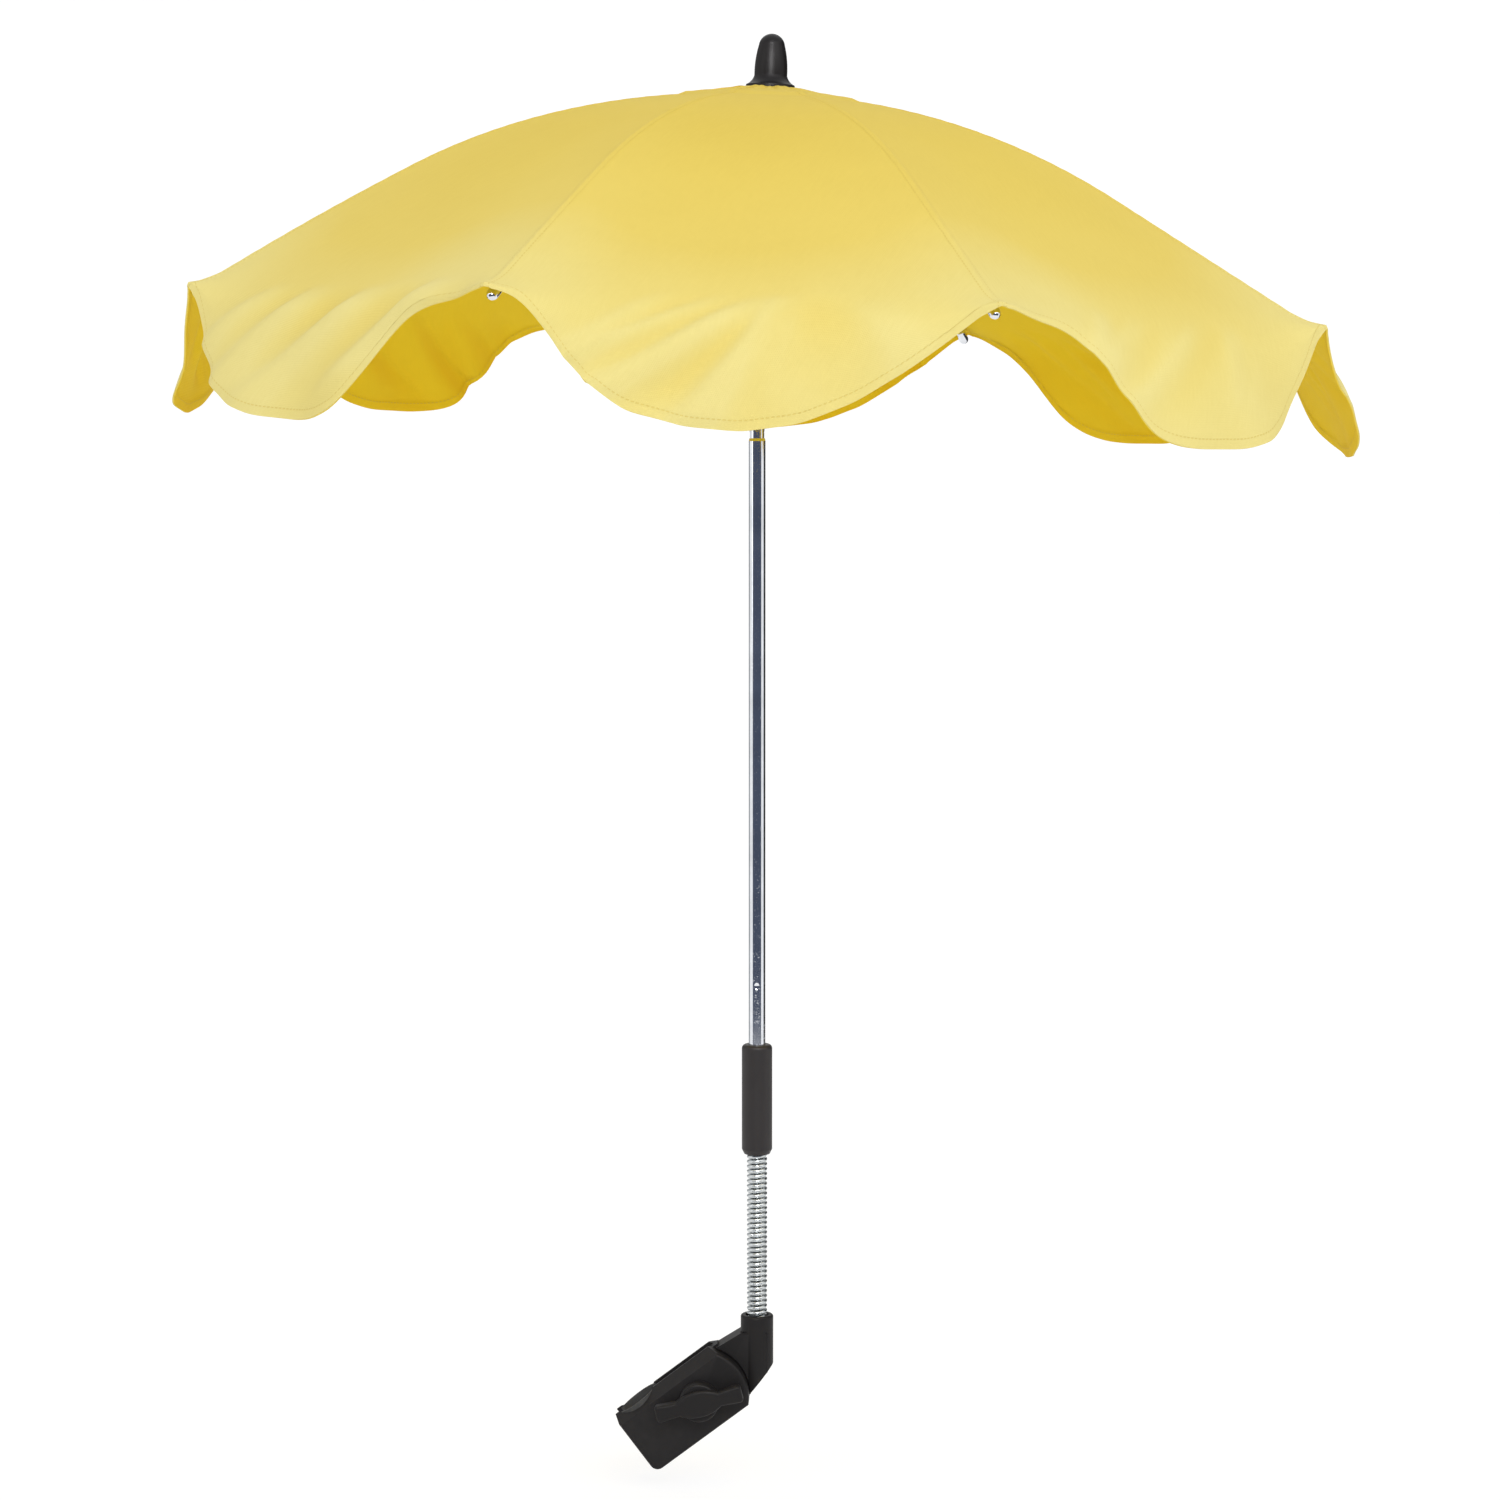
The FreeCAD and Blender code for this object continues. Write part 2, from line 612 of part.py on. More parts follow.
def make_coil():
    """The neck's round wire, wound in open turns, as one unbroken tube."""
    wire = float(S.coil_wire_d)
    radius = (float(S.coil_outer_d) - wire) / 2
    pitch = float(S.coil_pitch)
    low = float(neck_low) + wire
    turns = math.floor((float(neck_high) - wire - low) / pitch * BIARCS_PER_TURN) / BIARCS_PER_TURN
    places = helix_points(radius, pitch, low, turns, round(turns * BIARCS_PER_TURN))
    (first, first_way), (last, last_way) = places[0], places[-1]
    edges = [Part.LineSegment(first - first_way * wire, first).toShape()]
    for place, following in zip(places, places[1:]):
        edges += biarc(place, following)
    edges.append(Part.LineSegment(last, last + last_way * wire).toShape())
    start = first - first_way * wire
    out = Vector(1, 0, 0)
    side = first_way.cross(out)
    corners = []
    for corner in range(COIL_SIDES + 1):
        bearing = math.tau * corner / COIL_SIDES
        corners.append(start + (out * math.cos(bearing) + side * math.sin(bearing)) * (wire / 2))
    shell = Part.BRepOffsetAPI.MakePipeShell(Part.Wire(edges))
    shell.add(Part.makePolygon(corners))
    shell.build()
    shell.makeSolid()
    coil = doc.addObject("Part::Feature", "gooseneck_coil")
    coil.Shape = Part.Solid(shell.shape())
    on_shaft(coil)
    subparts.append(coil)
    print("least gap between turns, mm:", round(least_coil_gap(radius, wire, pitch), 3))


# Grip sleeve and pole
sleeve_low = S.socket_top_z + S.neck_length
sleeve_high = sleeve_low + S.sleeve_length
pole_low = neck_high + S.spigot_flange


def make_sleeve():
    """The moulded grip that covers the end of the pole and the end of the neck."""
    body = new_body("grip_sleeve")
    step = pole_low
    bore_r = S.tube_r + S.seat_gap
    turn(body, "sleeve_section", [
        (bore_r, sleeve_high), (S.sleeve_r - S.sleeve_round, sleeve_high),
        (S.sleeve_r, sleeve_high - S.sleeve_round, S.sleeve_round),
        (S.sleeve_r, sleeve_low + S.sleeve_bevel), (S.sleeve_r - S.sleeve_bevel / 2, sleeve_low),
        (S.socket_bore_r, sleeve_low), (S.socket_bore_r, step), (bore_r, step),
    ])
    on_shaft(body)


def dent(body, name):
    """The shallow round dimple that is punched to hold the pole on its spigot."""
    ball_r = (S.dimple_r * S.dimple_r + S.dimple_depth * S.dimple_depth) / (S.dimple_depth * 2)
    ball = body.newObject("PartDesign::SubtractiveSphere", name)
    bind(ball, "Radius", ball_r)
    bind(ball, "Placement.Base.x", S.tube_r - S.dimple_depth + ball_r)
    bind(ball, "Placement.Base.z", S.dimple_z)


def make_lower_tube():
    high = S.knuckle_z - S.knuckle_half - S.knuckle_shoulder
    body = tube_of("lower_tube", S.tube_r, tube_inner_r, pole_low, high)
    dent(body, "pole_dent")
    on_shaft(body, -90)


# Tilt knuckle
plug_r = tube_inner_r - S.seat_gap


def knuckle_plug(body, name, sign):
    """The plug in the tube and its shoulder, below the pin or above it."""
    inner = S.knuckle_z + S.knuckle_half * sign
    edge = inner + S.knuckle_shoulder * sign
    outer = edge + S.knuckle_plug * sign
    corners = [
        (0, inner), (S.knuckle_waist_r, inner), (S.tube_r, edge),
        (plug_r, edge), (plug_r, outer), (0, outer),
    ]
    turn(body, name, corners if sign < 0 else corners[::-1])


def make_fork():
    """The lower half of the tilt knuckle: two round-nosed cheeks."""
    body = new_body("knuckle_fork")
    knuckle_plug(body, "fork_plug", -1)
    base = S.knuckle_z - S.knuckle_half
    nose = S.knuckle_nose_r
    cheeks = outline(body, "fork_cheeks", "XZ_Plane", [
        (-nose, base), (-nose, S.knuckle_z), (0, S.knuckle_z + nose, nose),
        (nose, S.knuckle_z, nose), (nose, base),
    ])
    extrude(body, "Pad", cheeks, S.knuckle_waist_r * 2, symmetric=True)
    high = S.knuckle_z + nose + S.overrun
    far = S.knuckle_waist_r * 2
    turn(body, "fork_round", [
        (S.knuckle_waist_r, high), (far, high), (far, base), (S.knuckle_waist_r, base),
    ], "Groove")
    slot = outline(body, "fork_slot", "XZ_Plane", [(-far, base), (-far, high), (far, high), (far, base)])
    extrude(body, "Pocket", slot, S.knuckle_tongue + S.running_gap * 2, symmetric=True)
    hole = circle(body, "fork_hole", "XZ_Plane", 0, S.knuckle_z, S.knuckle_pin_r + S.seat_gap)
    extrude(body, "Pocket", hole, far * 2, symmetric=True)
    on_shaft(body)


def make_tongue():
    """The upper half of the tilt knuckle: a round-nosed tongue."""
    body = new_body("knuckle_tongue")
    knuckle_plug(body, "tongue_plug", 1)
    base = S.knuckle_z + S.knuckle_half
    nose = S.knuckle_nose_r
    blade = outline(body, "tongue_blade", "XZ_Plane", [
        (nose, base), (nose, S.knuckle_z), (0, S.knuckle_z - nose, nose),
        (-nose, S.knuckle_z, nose), (-nose, base),
    ])
    extrude(body, "Pad", blade, S.knuckle_tongue, symmetric=True)
    hole = circle(body, "tongue_hole", "XZ_Plane", 0, S.knuckle_z, S.knuckle_pin_r + S.pin_gap)
    extrude(body, "Pocket", hole, S.knuckle_tongue + S.overrun, symmetric=True)
    on_mast(body)


def make_pin():
    body = new_body("knuckle_pin")
    shank = circle(body, "pin_shank", "XZ_Plane", 0, S.knuckle_z, S.knuckle_pin_r)
    extrude(body, "Pad", shank, S.knuckle_waist_r * 2 - S.pin_head_sink * 2, symmetric=True)
    on_shaft(body)


# Rib line: an arc from the crown, then a straight run to the tip
rib_drop = S.cap_d / 2 + S.fabric + S.running_gap
line_x = S.rib_start_r - S.canopy_arc_r * sine(S.rib_start_slope)
line_z = S.canopy_crown_z - S.canopy_arc_r * cosine(S.rib_start_slope)
rib_arc_r = S.canopy_arc_r - rib_drop
crown_pivot_z = line_z + rib_arc_r * cosine(S.rib_start_slope)
bend_x = line_x + rib_arc_r * sine(S.rib_end_slope)
bend_z = line_z + rib_arc_r * cosine(S.rib_end_slope)
rib_end_x = S.tip_r - S.cap_margin - S.cap_length
rib_end_z = bend_z - (rib_end_x - bend_x) * sine(S.rib_end_slope) / cosine(S.rib_end_slope)
joint_z = line_z + leg(rib_arc_r, S.joint_r - line_x)
runner_z = crown_pivot_z - S.runner_drop
link_rise = joint_z - runner_z
link_run = S.joint_r - S.rib_pivot_r
link_length = root_of_squares(link_run, link_rise)
link_angle = math.degrees(math.atan2(float(link_rise), float(link_run)))
upper_tube_top = S.crown_top_z - S.tube_in_crown / 2


def rib_bearing(number):
    """The way that a rib points, with a gore facing the viewer."""
    return 360 / RIBS * (number + FIRST_RIB_TURN_SHARE)


def rib_path(body, name):
    """The rib's centre line."""
    path = new_sketch(body, name, "XZ_Plane")
    centre = Vector(float(line_x), float(line_z), 0)
    low, high = math.radians(90 - float(S.rib_end_slope)), math.radians(90 - float(S.rib_start_slope))
    arc = Part.ArcOfCircle(Part.Circle(centre, Z_AXIS, float(rib_arc_r)), low, high)
    path.addGeometry(arc)
    path.addGeometry(Part.LineSegment(arc.StartPoint, Vector(float(rib_end_x), float(rib_end_z), 0)))
    pin(path, 0, 3, line_x, line_z)
    radius = path.addConstraint(Sketcher.Constraint("Radius", 0, float(rib_arc_r)))
    bind(path, f"Constraints[{radius}]", rib_arc_r)
    for point, x in ((1, bend_x), (2, line_x + rib_arc_r * sine(S.rib_start_slope))):
        index = path.addConstraint(Sketcher.Constraint("DistanceX", 0, point, float(x)))
        bind(path, f"Constraints[{index}]", x)
    path.addConstraint(Sketcher.Constraint("Coincident", 0, 1, 1, 1))
    pin(path, 1, 2, rib_end_x, rib_end_z)
    return path


def make_rib(number):
    """A round wire rib with an eye for the crown's ring and a pierced boss for its stretcher."""
    body = new_body(f"rib_{number + 1}")
    path = rib_path(body, f"rib_line_{number + 1}")
    doc.recompute()
    section = body.newObject("Sketcher::SketchObject", f"rib_section_{number + 1}")
    section.AttachmentSupport = [(path, "Edge1")]
    section.MapMode = "NormalToEdge"
    section.MapPathParameter = 1.0
    section.addGeometry(Part.Circle(Vector(0, 0, 0), Z_AXIS, float(S.rib_d / 2)))
    pin(section, 0, 3, 0, 0)
    radius = section.addConstraint(Sketcher.Constraint("Radius", 0, float(S.rib_d / 2)))
    bind(section, f"Constraints[{radius}]", S.rib_d / 2)
    sweep = body.newObject("PartDesign::AdditivePipe", f"rib_wire_{number + 1}")
    sweep.Profile = section
    sweep.Spine = (path, ["Edge1", "Edge2"])
    doc.recompute()
    eye = circle(body, f"rib_eye_{number + 1}", "XZ_Plane", S.rib_pivot_r, crown_pivot_z, S.rib_eye_r)
    extrude(body, "Pad", eye, S.rib_eye_thick, symmetric=True)
    boss = circle(body, f"rib_boss_{number + 1}", "XZ_Plane", S.joint_r, joint_z, S.rib_boss_r)
    extrude(body, "Pad", boss, S.rib_d, symmetric=True)
    ring_r = S.crown_wire_r + S.eye_gap
    ring_hole = circle(body, f"rib_ring_{number + 1}", "XZ_Plane", S.rib_pivot_r, crown_pivot_z, ring_r)
    extrude(body, "Pocket", ring_hole, S.rib_d + S.overrun, symmetric=True)
    hole = circle(body, f"rib_hole_{number + 1}", "XZ_Plane", S.joint_r, joint_z, S.rivet_r + S.seat_gap)
    extrude(body, "Pocket", hole, S.rib_d + S.overrun, symmetric=True)
    on_mast(body, rib_bearing(number))


def make_cap(number):
    """The bullet cap on a rib's tip."""
    body = new_body(f"rib_cap_{number + 1}")
    cap_r = S.cap_d / 2
    bore_r = S.rib_d / 2 + S.seat_gap
    turn(body, f"cap_section_{number + 1}", [
        (0, S.cap_length), (cap_r, S.cap_length - cap_r, cap_r), (cap_r, 0),
        (bore_r, 0), (bore_r, S.cap_sink), (0, S.cap_sink),
    ])
    slope = float(S.rib_end_slope)
    tilt = FreeCAD.Rotation(Y_AXIS, 90 + slope)
    sunk = float(S.cap_sink - S.seat_gap)
    run, fall = math.cos(math.radians(slope)), math.sin(math.radians(slope))
    foot = Vector(float(rib_end_x) - sunk * run, 0, float(rib_end_z) + sunk * fall)
    body.Placement = mast_frame(rib_bearing(number)) * FreeCAD.Placement(foot, tilt)


# Stretchers
channel_inside = S.rib_d + S.running_gap * 2
channel_wide = channel_inside + S.channel_wall * 2


def stretcher_place(number):
    """A stretcher lies from the runner's pivot up to its rib."""
    pivot = Vector(float(S.rib_pivot_r), 0, float(runner_z))
    slope = FreeCAD.Rotation(Y_AXIS, -link_angle)
    return mast_frame(rib_bearing(number)) * FreeCAD.Placement(pivot, slope)


def make_stretcher(number):
    """A pressed channel that straddles its rib, pinched to a flat tongue where it meets the runner."""
    tag = number + 1
    body = new_body(f"stretcher_{tag}")
    half = S.channel_tall / 2
    start = S.tongue_length
    end = link_length + half
    bar = outline(body, f"channel_{tag}", "XZ_Plane", [
        (start, half), (link_length, half), (end, 0, half), (link_length, -half, half), (start, -half),
    ])
    extrude(body, "Pad", bar, channel_wide, symmetric=True)
    web = half - S.channel_wall
    fork = link_length - S.channel_open
    inside = outline(body, f"channel_inside_{tag}", "XZ_Plane", [
        (start, -(half + S.overrun)), (start, web), (fork, web), (fork, half + S.overrun),
        (end + S.overrun, half + S.overrun), (end + S.overrun, -(half + S.overrun)),
    ])
    extrude(body, "Pocket", inside, channel_inside, symmetric=True)
    blade = outline(body, f"tongue_{tag}", "XZ_Plane", [
        (0, -half), (-half, 0, half), (0, half, half), (start + S.tongue_lap, half),
        (start + S.tongue_lap, -half),
    ])
    extrude(body, "Pad", blade, S.tongue_thick, symmetric=True)
    eye = circle(body, f"tongue_eye_{tag}", "XZ_Plane", 0, 0, S.crown_wire_r + S.pin_gap)
    extrude(body, "Pocket", eye, channel_wide, symmetric=True)
    hole = circle(body, f"channel_hole_{tag}", "XZ_Plane", link_length, 0, S.rivet_r + S.seat_gap)
    extrude(body, "Pocket", hole, channel_wide + S.overrun, symmetric=True)
    body.Placement = stretcher_place(number)


def make_rivet(number):
    """The rivet that hinges a stretcher to its rib."""
    tag = number + 1
    body = new_body(f"rivet_{tag}")
    shank = circle(body, f"rivet_shank_{tag}", "XZ_Plane", link_length, 0, S.rivet_r)
    extrude(body, "Pad", shank, channel_wide + S.rivet_head, symmetric=True)
    for side, lift in (("front", channel_wide / 2), ("back", -(channel_wide / 2))):
        head = circle(body, f"rivet_{side}_{tag}", "XZ_Plane", link_length, 0, S.rivet_head_r, lift)
        extrude(body, "Pad", head, S.rivet_head, reverse=side == "back")
    body.Placement = stretcher_place(number)


# Crown, runner, catch and finial
rib_slot = S.rib_d + S.running_gap * 2
tongue_slot = S.tongue_thick + S.running_gap * 2


def cut_slots(body, name, inner, outer, wide, low, tall):
    """A ring of open slots, one for each rib."""
    slot = outline(body, name, "XY_Plane", [
        (inner, -(wide / 2)), (inner, wide / 2), (outer, wide / 2), (outer, -(wide / 2)),
    ], low)
    pocket = extrude(body, "Pocket", slot, tall, reverse=True)
    repeat_round(body, name + "_round", [pocket], RIBS)


def make_crown():
    """The crown on the pole's end: slots for the rib eyes, their ring's groove and the finial's stud."""
    body = new_body("crown")
    low = crown_pivot_z - S.crown_drop
    slot_top = crown_pivot_z + S.rib_eye_r + S.running_gap
    bore_r = S.tube_r + S.seat_gap
    stud_top = S.crown_top_z + S.stud_tall
    turn(body, "crown_section", [
        (0, stud_top), (S.stud_r, stud_top), (S.stud_r, S.crown_top_z),
        (S.crown_top_r, S.crown_top_z), (S.crown_r, slot_top + S.crown_brim), (S.crown_r, low),
        (bore_r, low), (bore_r, upper_tube_top), (0, upper_tube_top),
    ])
    groove_r = S.crown_wire_r + S.pin_gap
    near, far = S.rib_pivot_r - groove_r, S.rib_pivot_r + groove_r
    roof, below = crown_pivot_z + groove_r, low - S.overrun
    turn(body, "crown_groove", [(near, roof), (far, roof), (far, below), (near, below)], "Groove")
    cut_slots(
        body, "crown_slots", S.crown_core_r, S.crown_r + S.overrun, rib_slot,
        low - S.overrun, slot_top - low + S.overrun,
    )
    on_mast(body, rib_bearing(0))


def make_crown_wire():
    """The ring that the rib eyes are threaded on."""
    ring = doc.addObject("Part::Torus", "crown_wire")
    bind(ring, "Radius1", S.rib_pivot_r)
    bind(ring, "Radius2", S.crown_wire_r)
    ring.Placement = mast_frame()
    bind(ring, "Placement.Base.x", lean_x + crown_pivot_z * sine(S.mast_lean))
    bind(ring, "Placement.Base.z", lean_z + crown_pivot_z * cosine(S.mast_lean))
    subparts.append(ring)


runner_step = runner_z - S.runner_flange_tall / 2
hub_low = runner_step - S.runner_hub_tall
catch_top = hub_low - S.running_gap
catch_low = catch_top - S.catch_leaf
catch_outer = tube_inner_r - S.running_gap * 2


def make_runner():
    """The sliding runner: a slotted flange for the stretchers and a ringed hub to hold it by."""
    body = new_body("runner")
    top = runner_step + S.runner_flange_tall
    bore_r = S.tube_r + S.running_gap
    turn(body, "runner_section", [
        (bore_r, top), (S.runner_flange_r, top), (S.runner_flange_r, runner_step),
        (S.runner_hub_r, runner_step), (S.runner_hub_r, hub_low), (bore_r, hub_low),
    ])
    ring_r = S.runner_hub_r - S.runner_ring_deep
    for ring in range(GRIP_RINGS):
        foot = hub_low + S.runner_ring * (2 * ring + 1)
        turn(body, f"runner_ring_{ring + 1}", [
            (ring_r, foot + S.runner_ring), (S.runner_hub_r + S.overrun, foot + S.runner_ring),
            (S.runner_hub_r + S.overrun, foot), (ring_r, foot),
        ], "Groove")
    cut_slots(
        body, "runner_slots", S.runner_hub_r, S.runner_flange_r + S.overrun, tongue_slot,
        runner_step - S.overrun / 2, S.runner_flange_tall + S.overrun,
    )
    on_mast(body, rib_bearing(0))


def make_catch():
    """The spring leaf in the pole whose nose holds the runner up."""
    body = new_body("spring_catch")
    inner = catch_outer - S.catch_thick
    nose = S.tube_r + S.catch_reach
    leaf = outline(body, "catch_leaf", "XZ_Plane", [
        (inner, catch_top), (nose, catch_top), (nose, catch_top - S.catch_reach),
        (catch_outer, catch_top - S.catch_nose_tall), (catch_outer, catch_low), (inner, catch_low),
    ])
    extrude(body, "Pad", leaf, S.catch_wide, symmetric=True)
    on_mast(body, -90)


def make_upper_tube():
    """The upper pole, with a window for the catch."""
    low = S.knuckle_z + S.knuckle_half + S.knuckle_shoulder
    body = tube_of("upper_tube", S.tube_r, tube_inner_r, low, upper_tube_top)
    half = S.catch_wide / 2 + S.running_gap
    floor = catch_top - S.catch_nose_tall - S.running_gap
    roof = catch_top + S.running_gap
    window = outline(body, "catch_window", "YZ_Plane", [
        (-half, floor), (-half, roof), (half, roof), (half, floor),
    ])
    extrude(body, "Pocket", window, S.tube_r + S.overrun, reverse=True)
    on_mast(body, -90)


collar_z = S.crown_top_z + S.running_gap + S.fabric
finial_low = collar_z + S.running_gap


def make_finial():
    """The bullet-shaped cap on top, flared where it holds the canopy down."""
    body = new_body("finial")
    top = finial_low + S.finial_tall
    shoulder = top - S.finial_dome_drop
    waist = finial_low + S.finial_skirt
    rim = finial_low + S.finial_rim
    bore_r = S.stud_r + S.seat_gap
    bore_top = S.crown_top_z + S.stud_tall + S.seat_gap
    drop = S.finial_dome_drop
    dome_r = (S.finial_shoulder_r * S.finial_shoulder_r + drop * drop) / (drop * 2)
    turn(body, "finial_section", [
        (0, top), (S.finial_shoulder_r, shoulder, dome_r), (S.finial_body_r, waist, S.finial_side_r),
        (S.finial_base_r, rim, S.finial_flare_r, HOLLOW), (S.finial_base_r, finial_low),
        (bore_r, finial_low), (bore_r, bore_top), (0, bore_top),
    ])
    on_mast(body)


# Canopy
def canopy_line():
    """The cloth's line along a rib: the collar, the cone round the crown, the arc's ends and the tip."""
    slope = math.radians(float(S.rib_end_slope))
    centre = Vector(float(line_x), 0, float(line_z))
    radius = float(S.canopy_arc_r)
    cone = math.asin((float(S.cone_r) - centre.x) / radius)
    angles = (cone, (cone + slope) / 2, slope)
    spots = [centre + Vector(math.sin(a), 0, math.cos(a)) * radius for a in angles]
    tip = spots[-1] + Vector(1, 0, -math.tan(slope)) * (float(S.tip_r) - spots[-1].x)
    collar = Vector(float(S.collar_r), 0, float(collar_z))
    hole_r = float(S.stud_r + S.running_gap) / math.cos(math.pi / RIBS)
    hole = Vector(hole_r, 0, float(collar_z))
    return [hole, collar, *spots, tip]


def gore_section(line, share):
    """The cloth's closed outline in an upright plane through the pole, a share of the way across a gore."""
    half_turn = math.pi / RIBS
    bearing = half_turn * (2 * share - 1)
    draw_in = math.cos(half_turn) / math.cos(bearing)
    wall = float(S.fabric)
    fullness = math.sin(math.pi * share)
    drop = float(S.valance_at_rib) + float(S.valance_drop - S.valance_at_rib) * fullness
    ripple = math.cos(math.tau * VALANCE_FOLDS * share) * fullness
    swing = float(S.valance_swing) * drop / float(S.valance_drop) + float(S.fold_depth) * ripple
    outer = [Vector(p.x * draw_in, 0, p.z) for p in line]
    tip = outer[-1]
    hem = tip + Vector(swing, 0, -drop)
    belly_rise = float(S.valance_belly) * drop / float(S.valance_drop)
    belly = (tip + hem) / 2 + Vector(belly_rise + swing / 2, 0, 0)
    below = Vector(0, 0, -wall)
    inside = Vector(-wall, 0, 0)
    slant = (below + inside) * math.sqrt(0.5)
    top = [p + below for p in outer[:-1]] + [tip + slant]
    edges = [
        Part.LineSegment(outer[0], outer[1]),
        Part.LineSegment(outer[1], outer[2]),
        Part.Arc(outer[2], outer[3], outer[4]),
        Part.LineSegment(outer[4], tip),
        Part.Arc(tip, belly, hem),
        Part.LineSegment(hem, hem + inside),
        Part.Arc(hem + inside, belly + inside, top[5]),
        Part.LineSegment(top[5], top[4]),
        Part.Arc(top[4], top[3], top[2]),
        Part.LineSegment(top[2], top[1]),
        Part.LineSegment(top[1], top[0]),
        Part.LineSegment(top[0], outer[0]),
    ]
    wire = Part.Wire([edge.toShape() for edge in edges])
    wire.rotate(Vector(0, 0, 0), Z_AXIS, math.degrees(bearing))
    return wire


def make_canopy():
    """The sewn cloth: taut gores between the ribs and a scalloped valance that hangs in folds."""
    line = canopy_line()
    shares = [step / (GORE_SECTIONS - 1) for step in range(GORE_SECTIONS)]
    gore = Part.makeLoft([gore_section(line, share) for share in shares], True, False)
    gores = []
    for number in range(RIBS):
        copy = gore.copy()
        copy.rotate(Vector(0, 0, 0), Z_AXIS, 360 / RIBS * number)
        gores.append(copy)
    canopy = doc.addObject("Part::Feature", "canopy")
    canopy.Shape = gores[0].multiFuse(gores[1:])
    on_mast(canopy)
    subparts.append(canopy)


make_jaw("front_jaw", True)
make_jaw("back_jaw", False)
make_pad("front_pad", True)
make_pad("back_pad", False)
make_bolt()
make_washer()
make_knob()
make_nut()
make_elbow()
make_lower_spigot()
make_coil()
make_core()
make_upper_spigot()
make_sleeve()
make_lower_tube()
make_fork()
make_tongue()
make_pin()
make_upper_tube()
make_catch()
make_runner()
make_crown()
make_crown_wire()
make_finial()
make_canopy()
for rib_number in range(RIBS):
    make_rib(rib_number)
    make_cap(rib_number)
    make_stretcher(rib_number)
    make_rivet(rib_number)

doc.recompute()
failed = [thing.Name for thing in doc.Objects if {"Invalid", "Error"} & set(thing.State)]
failed += [part.Label for part in subparts if part.Shape.isNull() or not part.Shape.isValid()]
if failed:
    raise RuntimeError("these failed: " + ", ".join(failed))
os.makedirs("parts", exist_ok=True)
for part in subparts:
    part.Shape.exportStep(f"parts/{part.Label}.step")
print("sub-parts:", len(subparts))
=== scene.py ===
"""The look of the pram parasol: its cloth canopy, wound neck and finishes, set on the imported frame."""
import json
import math

import bpy
import numpy as np
from mathutils import Matrix, Vector


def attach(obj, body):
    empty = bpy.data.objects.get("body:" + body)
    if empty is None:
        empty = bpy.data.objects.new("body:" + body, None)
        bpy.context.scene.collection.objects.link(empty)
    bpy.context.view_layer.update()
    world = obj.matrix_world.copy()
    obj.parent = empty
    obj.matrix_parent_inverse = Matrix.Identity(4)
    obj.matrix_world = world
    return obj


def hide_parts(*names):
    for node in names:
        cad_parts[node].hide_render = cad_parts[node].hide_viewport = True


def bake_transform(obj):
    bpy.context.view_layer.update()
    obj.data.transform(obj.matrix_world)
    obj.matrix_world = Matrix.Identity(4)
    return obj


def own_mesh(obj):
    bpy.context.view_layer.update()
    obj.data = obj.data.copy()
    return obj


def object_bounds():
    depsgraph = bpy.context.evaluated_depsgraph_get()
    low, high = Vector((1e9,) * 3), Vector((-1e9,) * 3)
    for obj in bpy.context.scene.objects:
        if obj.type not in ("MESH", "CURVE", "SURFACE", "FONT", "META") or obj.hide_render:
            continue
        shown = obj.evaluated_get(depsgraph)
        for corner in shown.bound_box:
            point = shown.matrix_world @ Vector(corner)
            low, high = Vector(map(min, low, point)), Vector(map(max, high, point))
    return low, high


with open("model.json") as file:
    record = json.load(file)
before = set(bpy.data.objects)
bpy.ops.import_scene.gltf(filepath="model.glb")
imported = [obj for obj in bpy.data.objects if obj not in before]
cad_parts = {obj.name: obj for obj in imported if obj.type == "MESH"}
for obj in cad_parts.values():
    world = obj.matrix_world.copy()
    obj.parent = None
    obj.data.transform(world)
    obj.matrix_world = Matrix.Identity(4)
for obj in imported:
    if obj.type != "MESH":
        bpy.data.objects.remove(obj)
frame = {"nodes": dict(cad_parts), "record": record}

CAD_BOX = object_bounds()
JOINTS = {joint["name"]: joint for joint in frame["record"]["behaviour"]["joints"]}
SLOT_OF = {part["node"]: part["material_slot"] for part in frame["record"]["subparts"]}

# Sizes in metres, angles in degrees
RIBS = 8
HALF_TURN = math.pi / RIBS
SHAFT_X = 0.0602
CANOPY_ARC_R = 0.440
RIB_START_R, CANOPY_CROWN_Z, RIB_START_SLOPE = 0.012, 0.7930, math.radians(2.2)
RIB_END_SLOPE = math.radians(30)
TIP_R = 0.340
CONE_R, COLLAR_R, COLLAR_Z, FINIAL_R = 0.034, 0.0132, 0.7962, 0.0143
CONE_SOFTNESS = 0.0022
VALANCE_DROP, VALANCE_AT_RIB, VALANCE_BELLY = 0.062, 0.002, 0.003
CLOTH, HEM_CLOTH = 0.0005, 0.0012
HEM_WIDE, SEAM_WIDE = 0.006, 0.0032
HEM_STITCH, SEAM_STITCH, STITCH_HALF, STITCH_STEP = 0.0052, 0.0024, 0.0003, 0.0027
LINE_X = RIB_START_R - CANOPY_ARC_R * math.sin(RIB_START_SLOPE)
LINE_Z = CANOPY_CROWN_Z - CANOPY_ARC_R * math.cos(RIB_START_SLOPE)
BEND_R = LINE_X + CANOPY_ARC_R * math.sin(RIB_END_SLOPE)
BEND_Z = LINE_Z + CANOPY_ARC_R * math.cos(RIB_END_SLOPE)

# The upper pole's place, which carries the canopy
KNUCKLE = Vector(JOINTS["canopy_tilt"]["pos_m"])
MAST_UP = -Vector(JOINTS["canopy_fold"]["axis"])
MAST_TURN = Vector((0, 0, 1)).rotation_difference(MAST_UP).to_matrix()


